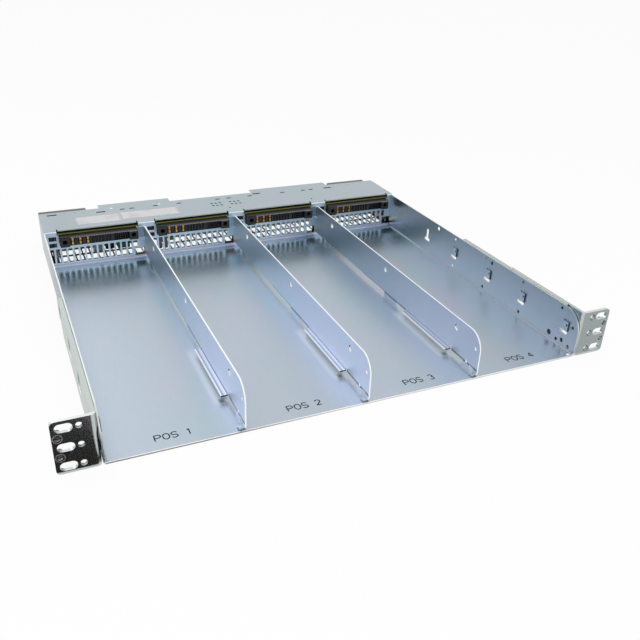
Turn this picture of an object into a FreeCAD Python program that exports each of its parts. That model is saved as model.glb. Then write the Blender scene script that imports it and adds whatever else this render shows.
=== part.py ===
import FreeCAD, Part
import os
import re

import Sketcher
from FreeCAD import Placement, Rotation, Vector

# Rack power shelf for four plug-in supplies, in millimetres.
# Across is X (right seen from the front), along is Y (front to rear) and up is Z.
# The origin is at the middle of the outer box's bottom. Inside each sub-part, along is
# measured from the shelf's front edge, and the sub-part's Placement moves it to its place.

SIZES = (
    # Sheet metal of the shelf
    ("sheet_gauge", 1.2, "thickness of the folded steel sheet"),
    ("bend_radius", 0.8, "inner radius of the sheet's folds"),
    ("bay_width", 103.5, "clear width of one supply bay"),
    ("wall_height", 42.2, "height of the side walls"),
    ("wall_nose", 20.0, "radius at the front top corner of the walls"),
    ("bay_depth", 350.2, "front edge to the front face of the bulkhead"),
    ("rear_depth", 58.8, "front face of the bulkhead to the shelf's rear edge"),
    ("bar_reach", 33.0, "how far the bus bars stand out behind the shelf"),
    ("fit_gap", 0.2, "clearance at the side of a sheet that fits between two walls"),
    # Rack ears
    ("ear_reach", 27.8, "how far an ear stands out from its arm's outer face"),
    ("panel_height", 43.6, "height of the rack ears"),
    ("ear_gauge", 3.0, "thickness of the rack ears"),
    ("ear_bend", 0.8, "inner radius of the ear's fold"),
    ("ear_gap", 0.5, "clearance between a wall and the ear's arm"),
    ("ear_corner", 3.5, "radius of the ear's outer corners"),
    ("rack_slot_inset", 8.75, "outer edge of an ear to the middle of its rack slots"),
    ("rack_rise", 15.875, "height from one rack slot to the next"),
    ("rack_slot_length", 12.0, "length of a rack slot"),
    ("rack_slot_width", 7.0, "width of a rack slot"),
    ("ear_hole_inset", 18.9, "outer edge of an ear to its inner round holes"),
    ("ear_hole", 5.6, "diameter of the inner round holes"),
    ("ear_tap_inset", 4.0, "outer edge of an ear to its outer holes"),
    ("ear_tap", 4.6, "diameter of the outer holes"),
    ("arm_full", 106.0, "length over which the arm has the ear's full height"),
    ("arm_step", 0.9, "step at the arm's top and bottom behind that length"),
    ("arm_setback", 7.0, "end of the arm to the middle of its last keyhole"),
    ("arm_corner", 6.0, "radius of the arm's rear corners"),
    ("tail_reach", 14.0, "middle of that keyhole to the end of the arm's tail"),
    ("tail_low", 8.8, "bottom of the tail"),
    ("tail_high", 33.0, "top of the tail"),
    ("tail_corner", 4.5, "radius of the tail's corners"),
    # Keyholes of the walls and hooks of the arms
    ("key_first", 18.0, "front edge to the first keyhole"),
    ("key_stagger", 63.0, "first keyhole of a pair to the second"),
    ("key_pitch", 120.0, "one pair of keyholes to the next"),
    ("key_slot_width", 4.0, "width of a keyhole's slot"),
    ("key_slot_top", 29.4, "top of a keyhole's slot"),
    ("key_mouth_top", 18.8, "top of a keyhole's wide mouth"),
    ("key_mouth_bottom", 15.3, "bottom of a keyhole's mouth"),
    ("key_mouth_width", 10.0, "width of a keyhole's mouth"),
    ("hook_thickness", 1.3, "thickness of a hook, pressed thinner than its ear"),
    ("hook_shift", 0.4, "middle of a keyhole to the front face of the hook's neck"),
    ("hook_head", 6.2, "length of a hook's head in front of its neck"),
    ("hook_low", 19.3, "bottom of a hook"),
    ("hook_height", 9.6, "height of a hook"),
    ("hook_bend", 1.5, "outer radius of a hook's fold"),
    ("hook_gap", 0.1, "clearance between a wall and a hook's head"),
    ("hook_pilot", 2.0, "diameter of the hole in a hook's head"),
    ("hook_pilot_along", 4.6, "front face of a hook's neck to that hole"),
    ("hook_pilot_up", 6.2, "bottom of a hook to that hole"),
    ("hook_window", 10.0, "length of the window that a hook was folded from"),
    ("mouth_margin", 0.5, "how far the ear's windows clear a keyhole's mouth"),
    # Dividers
    ("divider_height", 39.8, "top edge of a divider above the shelf's bottom"),
    ("divider_front", 2.0, "front edge of the shelf to the front of a divider"),
    ("divider_nose", 16.0, "radius at the front top corner of a divider"),
    ("divider_hole", 5.5, "diameter of the three holes of a divider"),
    ("divider_hole_first", 38.5, "front edge to a divider's first hole"),
    ("divider_hole_pitch", 131.5, "one hole of a divider to the next"),
    ("divider_hole_up", 30.5, "height of a divider's holes"),
    ("divider_pin_hole", 3.0, "diameter of the two small holes at the front"),
    ("upper_pin_along", 6.0, "front of a divider to its upper small hole"),
    ("upper_pin_up", 25.0, "height of that hole"),
    ("lower_pin_along", 6.0, "slit behind the foot to the lower small hole"),
    ("lower_pin_up", 1.5, "top edge of the long window to that hole"),
    ("front_window_start", 24.0, "start of the long window under a divider's front"),
    ("front_window_end", 143.5, "end of that window"),
    ("front_window_top", 5.4, "top edge of that window"),
    ("rear_window_start", 168.8, "start of the window under a divider's rear"),
    ("rear_window_top", 6.3, "top edge of that window"),
    ("lip_start", 43.5, "front end of a divider's guide lip"),
    ("lip_end", 121.5, "rear end of the guide lip"),
    ("lip_reach", 6.0, "width of the guide lip"),
    ("relief_width", 1.5, "width of the notches at the ends of a fold"),
    ("relief_depth", 4.0, "depth of those notches"),
    ("foot_slit", 12.4, "front edge to the slit behind a divider's foot"),
    ("foot_slit_top", 5.9, "top of that slit"),
    ("foot_end", 8.0, "rear end of the foot"),
    ("foot_up", 2.4, "underside of the foot"),
    ("foot_reach", 4.9, "how far the foot reaches to the left"),
    ("foot_leg_end", 5.5, "rear end of the leg that drops into the floor slot"),
    ("foot_leg_low", 0.3, "bottom of the leg in the floor slot"),
    ("foot_leg_gap", 0.4, "clearance round the leg in the floor slot"),
    ("divider_flange_low", 26.0, "bottom of the flange at a divider's rear"),
    ("divider_flange_high", 38.0, "top of that flange"),
    ("divider_flange_reach", 5.9, "width of that flange"),
    # Bulkhead between the bays and the rear compartment
    ("bulkhead_flange", 6.2, "depth of the fold along the bulkhead's foot"),
    ("opening_offset", 13.2, "left side of a bay to its connector opening"),
    ("opening_margin", 7.0, "connector opening to the right side of its bay"),
    ("opening_sill", 26.1, "bottom edge of a connector opening"),
    ("opening_setback", 2.0, "how far the openings cut into the cover's top"),
    ("fold_relief", 5.0, "how far the notches beside the openings cut into the top"),
    ("vent_first", 2.2, "left side of a bay to its first vent slot"),
    ("vent_pitch", 6.35, "one vent slot to the next"),
    ("vent_width", 4.4, "width of a vent slot"),
    ("vent_bottom", 6.8, "bottom of the vent slots"),
    ("vent_top", 22.8, "top of the vent slots"),
    ("vent_count", 14, "full vent slots of one bay"),
    ("split_top", 13.8, "top of the corner notch beside a divider"),
    ("split_bar", 1.5, "bar between the last vent slot and the corner notch"),
    ("notch_bottom", 4.8, "bottom of the corner notch"),
    ("notch_width", 11.0, "width of the corner notch"),
    ("window_offset", 2.9, "left side of a bay to its two small windows"),
    ("window_width", 7.9, "width of the small windows"),
    ("window_height", 4.7, "height of the small windows"),
    ("lower_window", 25.2, "bottom of the lower small window"),
    ("upper_window", 32.4, "bottom of the upper small window"),
    # Vents in the floor of the rear compartment
    ("grille_first", 7.05, "left wall to the first floor vent"),
    ("grille_pitch", 8.2, "one floor vent to the next"),
    ("grille_width", 6.7, "width of a floor vent"),
    ("grille_length", 15.5, "length of a floor vent"),
    ("grille_setback", 15.8, "front face of the bulkhead to the first row of floor vents"),
    ("grille_row_pitch", 18.0, "first row of floor vents to the second"),
    ("grille_count", 50, "floor vents in a row"),
    # Top of the cover
    ("tab_reach", 11.0, "how far the cover's two rear tabs stand out"),
    ("left_tab_start", -143.5, "left edge of the left tab"),
    ("left_tab_end", -61.0, "right edge of the left tab"),
    ("right_tab_start", 42.0, "left edge of the right tab"),
    ("right_tab_end", 144.0, "right edge of the right tab"),
    ("top_slot_inset", 11.0, "rear edge to the row of small slots"),
    ("top_slot_length", 5.5, "length of a small slot"),
    ("top_slot_width", 2.5, "width of a small slot"),
    ("long_slot_length", 10.0, "length of the larger slots"),
    ("long_slot_width", 3.0, "width of the larger slots"),
    ("pin_hole", 3.0, "diameter of the two groups of holes"),
    ("pin_pitch", 5.1, "hole to hole across a group"),
    ("pin_row", 7.6, "row to row in a group"),
    ("pin_group", 11.5, "middle of the shelf to the middle of a group"),
    ("pin_inset", 32.2, "rear edge to the front row of a group"),
    ("pilot_hole", 2.2, "diameter of the single holes"),
    ("pilot_inset", 44.5, "rear edge to the single holes"),
    # Backplane board and what hangs from it
    ("board_top", 40.5, "top face of the backplane board"),
    ("board_thickness", 2.3, "thickness of the board"),
    ("board_setback", 1.8, "bulkhead's front face to the board's front edge"),
    ("board_rear_gap", 5.0, "rear panel to the board's rear edge"),
    ("post_flats", 6.0, "width across a post's corners"),
    ("post_back", 10.3, "bulkhead's front face to the posts"),
    ("post_left_side", 8.8, "left wall to the post beside it"),
    ("post_right_side", 3.6, "right wall to the post beside it"),
    ("post_shift", 3.2, "middle of a divider to the post behind it"),
    ("screw_thread", 3.0, "diameter of the board's screws"),
    ("screw_head", 5.6, "diameter of their heads"),
    ("screw_head_height", 1.4, "height of their heads"),
    ("screw_length", 6.0, "depth of the screws below the board"),
    ("screw_hole", 3.3, "diameter of the board's screw holes"),
    ("socket_gap", 0.6, "clearance at each side of a connector in its opening"),
    ("socket_height", 10.9, "height of a supply connector"),
    ("socket_front", 6.7, "how far a connector stands in front of the bulkhead"),
    ("socket_back", 15.8, "how far a connector reaches behind the bulkhead's face"),
    ("socket_brow", 2.0, "depth of the recess under the connector's brow"),
    ("socket_brow_height", 1.9, "height of the connector's brow"),
    ("guide_width", 9.5, "width of the guide blocks at a connector's ends"),
    ("guide_reach", 1.6, "how far the guide blocks stand out"),
    ("guide_bore", 5.0, "diameter of the guide pin holes"),
    ("blade_first", 13.6, "opening's left edge to the first power contact"),
    ("blade_pitch", 7.9, "one power contact to the next"),
    ("blade_width", 2.0, "width of a power contact"),
    ("blade_slot", 4.4, "width of the slot round a power contact"),
    ("blade_slot_depth", 9.0, "depth of the contact slots"),
    ("blade_reach", 7.0, "length of a contact inside its slot"),
    ("blade_low", 28.3, "bottom of the contacts"),
    ("blade_high", 35.6, "top of the contacts"),
    ("blade_room", 0.6, "room above and below the contacts in their slots"),
    ("fin_first", 34.6, "opening's left edge to the first narrow contact"),
    ("fin_pitch", 3.6, "one narrow contact to the next"),
    ("fin_width", 0.9, "width of a narrow contact"),
    ("fin_slot", 2.0, "width of the slot round a narrow contact"),
    ("pin_field_margin", 10.1, "signal pins' recess to the opening's right edge"),
    ("pin_field_width", 15.6, "width of that recess"),
    ("pin_field_pitch", 2.4, "one signal pin to the next, both ways"),
    ("pin_size", 0.8, "width of a signal pin"),
    ("lug_width", 6.6, "width of a tinned lug under the board"),
    ("lug_low", 15.8, "bottom of the lugs and of the small upright boards"),
    ("lug_depth", 7.0, "depth of a lug"),
    ("lug_back", 17.8, "bulkhead's front face to the lugs"),
    ("riser_width", 9.0, "width of a small upright board"),
    ("riser_thickness", 1.6, "thickness of a small upright board"),
    # Bus bars
    ("bar_width", 26.0, "width of a bus bar"),
    ("bar_gauge", 3.0, "thickness of a bus bar"),
    ("bar_split", 4.0, "clear distance between the two bars"),
    ("bar_middle", -12.0, "middle of the pair of bars, across"),
    ("bar_top", 31.3, "top face of the bars behind the shelf"),
    ("bar_foot_back", 17.8, "bulkhead's front face to the front end of a bar's foot"),
    ("bar_foot_length", 18.0, "length of a bar's foot"),
    ("bar_hole", 9.0, "diameter of a bar's holes"),
    ("bar_hole_inset", 8.5, "rear end of a bar to its hole"),
    ("bar_hole_side", 6.5, "middle of a bar to its holes, across"),
    ("bushing_margin", 3.0, "how far the bushing reaches round the bars"),
    ("bushing_depth", 6.0, "depth of the bushing"),
    ("bushing_gap", 0.2, "clearance of the bars in the bushing"),
    # Rear panel
    ("rear_flange", 7.0, "depth of the folds along the rear panel"),
    ("rear_vent_bottom", 8.0, "bottom of the rear panel's slots"),
    ("rear_vent_top", 20.0, "top of the rear panel's slots"),
    ("rear_vent_count", 12, "slots in each field of the rear panel"),
    ("rear_vent_left", -138.0, "start of the left field of slots"),
    ("rear_vent_right", 66.0, "start of the right field of slots"),
    # Mains terminals
    ("terminal_side", 3.0, "side wall to the mains terminal block"),
    ("terminal_width", 48.0, "width of a terminal block"),
    ("terminal_depth", 15.0, "depth of a terminal block"),
    ("terminal_low", 10.0, "bottom of a terminal block"),
    ("terminal_height", 18.0, "height of a terminal block"),
    ("terminal_wall", 2.0, "thickness of a terminal block's barriers"),
    ("terminal_base", 6.0, "depth of a terminal block behind its screws"),
    ("terminal_count", 4, "terminals of one block"),
    ("terminal_head", 7.0, "diameter of a terminal screw's head"),
    ("terminal_head_height", 3.0, "height of a terminal screw's head"),
    ("terminal_slit", 1.2, "width of the slit in a terminal screw's head"),
    ("guard_gauge", 1.5, "thickness of a terminal cover"),
    ("guard_width", 53.0, "width of a terminal cover"),
    ("guard_reach", 22.6, "how far a terminal cover stands out behind"),
    ("guard_top", 37.8, "top face of a terminal cover"),
    ("guard_low", 7.0, "bottom edge of a terminal cover's sides"),
    ("guard_ear", 11.5, "width of the fixing ear of a terminal cover"),
    ("guard_screw_hole", 4.2, "diameter of the hole in that ear"),
    # Signal socket and earth stud
    ("signal_across", 45.0, "middle to the left side of the signal socket"),
    ("signal_width", 16.5, "width of the signal socket"),
    ("signal_height", 13.5, "height of the signal socket"),
    ("signal_depth", 14.0, "depth of the signal socket"),
    ("signal_low", 12.0, "bottom of the signal socket"),
    ("signal_wall", 1.3, "wall of the signal socket"),
    ("signal_stand", 1.0, "how far the signal socket stands out of the panel"),
    ("stud_across", -52.0, "middle to the earth stud"),
    ("stud_up", 20.0, "height of the earth stud"),
    ("stud_size", 6.0, "diameter of the earth stud"),
    ("stud_length", 14.0, "how far the earth stud stands out"),
    ("stud_head", 10.0, "diameter of the stud's head inside the panel"),
    ("stud_head_height", 2.0, "height of that head"),
    ("nut_size", 11.5, "width of the stud's nut across its corners"),
    ("nut_height", 5.0, "height of the stud's nut"),
)

# Places of single holes, each measured from the shelf's front edge and bottom
WALL_HOLES = (
    # along, up, diameter
    (236.0, 38.0, 4.4),
    (201.4, 38.1, 3.0),
    (143.6, 39.0, 2.6),
    (133.2, 37.5, 4.0),
    (81.7, 38.6, 2.8),
    (25.0, 37.8, 3.2),
    (201.2, 6.3, 3.2),
    (143.4, 6.3, 3.4),
    (81.6, 6.3, 3.4),
    (35.3, 7.5, 5.4),
    (24.9, 5.6, 3.4),
    (17.7, 7.8, 4.4),
    (8.5, 5.4, 3.8),
    (7.6, 25.5, 3.8),
)
TOP_SLOTS_ACROSS = (-119.0, -108.0, -80.6, -52.6, -5.0, 8.8, 36.0, 79.0, 107.3, 118.0)
LONG_SLOTS = ((-196.0, 8.0), (-143.3, 13.0), (46.3, 5.4), (141.0, 11.0))
# Bay and distance from that bay's left side
LUGS = ((0, 58.8), (1, 27.1))
RISERS = ((0, 87.3), (1, 37.6))
BAYS = (0, 1, 2, 3)
DIVIDERS = (1, 2, 3)
HOOKS = (0, 1, 2, 3)
KEYHOLES = (0, 1, 2, 3, 4)

# Lengths worked out from the sizes
HALF_INNER = "(2*bay_width + 1.5*sheet_gauge)"
HALF_OUTER = f"({HALF_INNER} + sheet_gauge)"
OUTER_BEND = "(bend_radius + sheet_gauge)"
# Top face of a fold that lies on the floor sheet
ON_FLOOR = "(2*sheet_gauge)"
SHELF_END = "(bay_depth + rear_depth)"
FRONT = f"(-({SHELF_END} + bar_reach)/2)"
COVER_TOP = "(wall_height + sheet_gauge)"
ARM_INNER = f"({HALF_OUTER} + ear_gap)"
ARM_OUTER = f"({ARM_INNER} + ear_gauge)"
EAR_EDGE = f"({ARM_OUTER} + ear_reach)"
BOARD_BOTTOM = "(board_top - board_thickness)"
BAR_FOOT = "(bay_depth + bar_foot_back)"
BAR_END = f"({SHELF_END} + bar_reach)"
OPENING_WIDTH = "(bay_width - opening_offset - opening_margin)"
PIN_FIELD = f"({OPENING_WIDTH} - pin_field_margin - pin_field_width)"

document = FreeCAD.newDocument("power_shelf")
sheet = document.addObject("Spreadsheet::Sheet", "Sizes")
for row, (alias, value, meaning) in enumerate(SIZES, start=1):
    sheet.set(f"A{row}", str(value))
    sheet.setAlias(f"A{row}", alias)
    sheet.set(f"B{row}", meaning)
document.recompute()

SIZE_NAMES = re.compile(r"\b(" + "|".join(alias for alias, _, _ in SIZES) + r")\b")
nodes = []


def bind(thing, field, text):
    """Tie a field to sizes of the sheet."""
    thing.setExpression(field, SIZE_NAMES.sub(r"Sizes.\1", text))


def length(text):
    """The present value of an expression on the sizes."""
    return float(sheet.evalExpression(text))


def bay_left(bay):
    """Left face of a bay, numbered from 0 at the left."""
    return f"(-{HALF_INNER} + {bay}*(bay_width + sheet_gauge))"


def divider_across(number):
    """Middle of a divider, numbered from 1 at the left."""
    return f"({number - 2}*(bay_width + sheet_gauge))"


def key_along(number):
    """Middle of a keyhole, numbered from 0 at the front."""
    return f"(key_first + {number // 2}*key_pitch + {number % 2}*key_stagger)"


ARM_END = f"({key_along(HOOKS[-1])} - arm_setback)"
TAIL_END = f"({key_along(HOOKS[-1])} + tail_reach)"


# Drawing and features
class Drawing:
    """A sketch on one of a body's own planes, each point tied to the sizes."""

    def __init__(self, body, name, role, lift="0"):
        plane = next(part for part in body.Origin.OriginFeatures if part.Role == role)
        self.sketch = body.newObject("Sketcher::SketchObject", name)
        self.sketch.AttachmentSupport = [(plane, "")]
        self.sketch.MapMode = "FlatFace"
        bind(self.sketch, "AttachmentOffset.Base.z", lift)

    def hold(self, curve, point, across, up):
        """Ties one point of a curve to its two coordinates."""
        for kind, text in (("DistanceX", across), ("DistanceY", up)):
            if text is not None:
                rule = Sketcher.Constraint(kind, -1, 1, curve, point, length(text))
                bind(self.sketch, f"Constraints[{self.sketch.addConstraint(rule)}]", text)

    def join(self, curves):
        """Makes each curve end where the next one starts."""
        for curve, following in zip(curves, curves[1:] + curves[:1]):
            self.sketch.addConstraint(Sketcher.Constraint("Coincident", curve, 2, following, 1))

    def polygon(self, *corners):
        """Straight sides through corners given as pairs of expressions."""
        points = [Vector(length(across), length(up), 0) for across, up in corners]
        sides = [
            self.sketch.addGeometry(Part.LineSegment(start, end), False)
            for start, end in zip(points, points[1:] + points[:1])
        ]
        self.join(sides)
        for side, (across, up) in zip(sides, corners):
            self.hold(side, 1, across, up)

    def rectangle(self, left, right, low, high):
        """An upright rectangle."""
        self.polygon((left, low), (right, low), (right, high), (left, high))

    def circle(self, across, up, diameter):
        """A round hole."""
        centre = Vector(length(across), length(up), 0)
        shape = Part.Circle(centre, Vector(0, 0, 1), length(diameter) / 2)
        curve = self.sketch.addGeometry(shape, False)
        self.hold(curve, 3, across, up)
        rule = Sketcher.Constraint("Diameter", curve, length(diameter))
        bind(self.sketch, f"Constraints[{self.sketch.addConstraint(rule)}]", diameter)

    def oblong(self, across, up, long, wide):
        """A slot with round ends that runs across."""
        near = f"({across}) - (({long}) - ({wide}))/2"
        far = f"({across}) + (({long}) - ({wide}))/2"
        low = f"({up}) - ({wide})/2"
        high = f"({up}) + ({wide})/2"
        middle = f"({up})"
        spots = {
            name: Vector(length(x), length(y), 0)
            for name, x, y in (
                ("near_low", near, low), ("far_low", far, low), ("far_high", far, high),
                ("near_high", near, high), ("far", far, middle), ("near", near, middle),
            )
        }
        reach = Vector(length(wide) / 2, 0, 0)
        curves = [
            self.sketch.addGeometry(shape, False)
            for shape in (
                Part.LineSegment(spots["near_low"], spots["far_low"]),
                Part.Arc(spots["far_low"], spots["far"] + reach, spots["far_high"]),
                Part.LineSegment(spots["far_high"], spots["near_high"]),
                Part.Arc(spots["near_high"], spots["near"] - reach, spots["near_low"]),
            )
        ]
        self.join(curves)
        self.hold(curves[0], 1, near, low)
        self.hold(curves[0], 2, far, low)
        self.hold(curves[2], 1, far, high)
        self.hold(curves[2], 2, near, high)
        self.hold(curves[1], 3, far, None)
        self.hold(curves[3], 3, near, None)


def make_body(label):
    """An empty body with its name."""
    return document.addObject("PartDesign::Body", label)


def pad(body, drawing, name, thickness, back=False, both=False):
    """Thickens a drawing along its normal, against it, or both ways."""
    feature = body.newObject("PartDesign::Pad", name)
    feature.Profile = drawing.sketch
    bind(feature, "Length", thickness)
    feature.Reversed = back
    if both:
        feature.SideType = "Symmetric"
    document.recompute()
    return feature


def pocket(body, drawing, name, depth=None, back=False):
    """Cuts a drawing through everything both ways, or to a depth, and checks that it cut."""
    before = body.Shape.Volume
    feature = body.newObject("PartDesign::Pocket", name)
    feature.Profile = drawing.sketch
    if depth is None:
        feature.Type = "ThroughAll"
        feature.SideType = "Symmetric"
    else:
        bind(feature, "Length", depth)
        feature.Reversed = back
    document.recompute()
    if not body.Shape.Volume < before:
        raise RuntimeError(f"{name} cuts nothing")
    return feature


def repeat(body, feature, name, role, pitch, count):
    """Repeats a feature along one of the body's axes."""
    axis = next(part for part in body.Origin.OriginFeatures if part.Role == role)
    pattern = body.newObject("PartDesign::LinearPattern", name)
    pattern.Originals = [feature]
    pattern.Direction = (axis, [""])
    bind(pattern, "Length", f"({pitch})*(({count}) - 1)")
    bind(pattern, "Occurrences", count)
    body.Tip = pattern
    document.recompute()
    return pattern


def edges_along(shape, axis, places, inside=None):
    """Names of the straight edges along an axis at places given by the other two."""
    others = [other for other in (0, 1, 2) if other != axis]
    wanted = [tuple(length(text) for text in place) for place in places]
    span = tuple(length(text) for text in inside) if inside else None
    names = []
    for number, edge in enumerate(shape.Edges, start=1):
        ends = [vertex.Point for vertex in edge.Vertexes]
        if len(ends) != 2 or edge.Curve.TypeId != "Part::GeomLine":
            continue
        if any(abs(ends[0][other] - ends[1][other]) > 1e-4 for other in others):
            continue
        middle = (ends[0][axis] + ends[1][axis]) / 2
        if span and not span[0] < middle < span[1]:
            continue
        for place in wanted:
            if all(abs(ends[0][other] - at) < 1e-3 for other, at in zip(others, place)):
                names.append(f"Edge{number}")
    if not names:
        raise RuntimeError(f"no edge at {places}")
    return names


def round_edges(body, name, radius, axis, places, inside=None):
    """Rounds straight edges of a body's latest feature."""
    base = body.Tip
    feature = body.newObject("PartDesign::Fillet", name)
    feature.Base = (base, edges_along(base.Shape, axis, places, inside))
    bind(feature, "Radius", radius)
    document.recompute()
    if "Invalid" in feature.State:
        raise RuntimeError(f"{name} can't be rounded")
    return feature


# Plain solids
def block(name, across, along, up):
    """A box between two expressions on each axis."""
    solid = document.addObject("Part::Box", name)
    fields = zip(("Length", "Width", "Height"), "xyz", (across, along, up))
    for field, axis, (low, high) in fields:
        bind(solid, field, f"({high}) - ({low})")
        bind(solid, f"Placement.Base.{axis}", low)
    return solid


TURNS = {
    "x": Rotation(Vector(0, 1, 0), 90),
    "y": Rotation(Vector(1, 0, 0), -90),
    "z": Rotation(),
}


def rod(name, axis, diameter, centre, start, end, sides=None):
    """A cylinder, or a prism with flat sides, along an axis between two expressions."""
    kind = "Part::Prism" if sides else "Part::Cylinder"
    solid = document.addObject(kind, name)
    if sides:
        solid.Polygon = sides
        bind(solid, "Circumradius", f"({diameter})/2")
    else:
        bind(solid, "Radius", f"({diameter})/2")
    bind(solid, "Height", f"({end}) - ({start})")
    solid.Placement = Placement(Vector(), TURNS[axis])
    others = [other for other in "xyz" if other != axis]
    bind(solid, f"Placement.Base.{axis}", start)
    for other, text in zip(others, centre):
        bind(solid, f"Placement.Base.{other}", text)
    return solid


def group(name, solids):
    """Several solids held as one shape."""
    bundle = document.addObject("Part::Compound", name)
    bundle.Links = solids
    return bundle


def joined(name, solids):
    """Solids fused into one."""
    fusion = document.addObject("Part::MultiFuse", name)
    fusion.Shapes = solids
    return fusion


def carved(name, base, tools):
    """A solid with others cut out of it."""
    cut = document.addObject("Part::Cut", name)
    cut.Base = base
    cut.Tool = group(f"{name}_tools", tools) if len(tools) > 1 else tools[0]
    return cut


def keep(thing, label):
    """Registers a sub-part under its label and puts it at the shelf's front edge."""
    thing.Label = label
    bind(thing, "Placement.Base.y", FRONT)
    nodes.append(thing)
    return thing


def keep_mirrored(source, label):
    """Registers the other hand of a sub-part."""
    image = document.addObject("Part::Mirroring", label)
    image.Source = source
    image.Base = Vector(0, 0, 0)
    image.Normal = Vector(1, 0, 0)
    image.Label = label
    nodes.append(image)
    return image


# Chassis pan: floor and both side walls, folded from one sheet
def make_chassis_pan():
    body = make_body("chassis_pan")
    section = Drawing(body, "pan_section", "XZ_Plane")
    section.polygon(
        (f"-{HALF_OUTER}", "0"),
        (HALF_OUTER, "0"),
        (HALF_OUTER, "wall_height"),
        (HALF_INNER, "wall_height"),
        (HALF_INNER, "sheet_gauge"),
        (f"-{HALF_INNER}", "sheet_gauge"),
        (f"-{HALF_INNER}", "wall_height"),
        (f"-{HALF_OUTER}", "wall_height"),
    )
    pad(body, section, "pan_sheet", SHELF_END, back=True)
    inner = ((HALF_INNER, "sheet_gauge"), (f"-{HALF_INNER}", "sheet_gauge"))
    outer = ((HALF_OUTER, "0"), (f"-{HALF_OUTER}", "0"))
    round_edges(body, "pan_inner_bends", "bend_radius", 1, inner)
    round_edges(body, "pan_outer_bends", OUTER_BEND, 1, outer)
    round_edges(body, "wall_noses", "wall_nose", 0, (("0", "wall_height"),))

    holes = Drawing(body, "wall_holes", "YZ_Plane")
    for along, up, diameter in WALL_HOLES:
        holes.circle(str(along), str(up), str(diameter))
    for number in KEYHOLES:
        middle = key_along(number)
        slot_near = f"{middle} - key_slot_width/2"
        slot_far = f"{middle} + key_slot_width/2"
        mouth_near = f"{middle} - key_mouth_width/2"
        mouth_far = f"{middle} + key_mouth_width/2"
        holes.polygon(
            (mouth_near, "key_mouth_bottom"),
            (mouth_far, "key_mouth_bottom"),
            (mouth_far, "key_mouth_top"),
            (slot_far, "key_mouth_top"),
            (slot_far, "key_slot_top"),
            (slot_near, "key_slot_top"),
            (slot_near, "key_mouth_top"),
            (mouth_near, "key_mouth_top"),
        )
    pocket(body, holes, "wall_openings")

    slots = Drawing(body, "floor_slots", "XY_Plane")
    for number in DIVIDERS:
        middle = divider_across(number)
        slots.rectangle(
            f"{middle} - sheet_gauge/2 - foot_reach - foot_leg_gap",
            f"{middle} - sheet_gauge/2",
            "divider_front - foot_leg_gap",
            "foot_leg_end + foot_leg_gap",
        )
    wall_edge = f"{HALF_INNER} - bend_radius"
    slots.rectangle(
        f"{wall_edge} - foot_reach",
        wall_edge,
        "divider_front - foot_leg_gap",
        "foot_leg_end + foot_leg_gap",
    )
    pocket(body, slots, "foot_slots")

    vents = Drawing(body, "floor_vent", "XY_Plane")
    left = f"-{HALF_INNER} + grille_first"
    for row in (0, 1):
        near = f"bay_depth + grille_setback + {row}*grille_row_pitch"
        vents.rectangle(left, f"{left} + grille_width", near, f"{near} + grille_length")
    cell = pocket(body, vents, "floor_vent_cut")
    repeat(body, cell, "floor_vents", "X_Axis", "grille_pitch", "grille_count")
    return keep(body, "chassis_pan")


def trim_sides(body, name, high):
    """Cuts a wide folded sheet to fit between the walls and clear of the pan's folds."""
    sides = Drawing(body, f"{name}_outline", "XZ_Plane")
    near_wall = f"({HALF_INNER} - fit_gap)"
    near_fold = f"({near_wall} - bend_radius)"
    beyond = f"({HALF_OUTER} + sheet_gauge)"
    fold_top = f"sheet_gauge + {OUTER_BEND}"
    for start, fold, end in (
        (near_wall, near_fold, beyond), (f"-{near_wall}", f"-{near_fold}", f"-{beyond}"),
    ):
        sides.polygon(
            (fold, "0"), (end, "0"), (end, high), (start, high), (start, fold_top), (fold, fold_top),
        )
    return pocket(body, sides, name)


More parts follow.
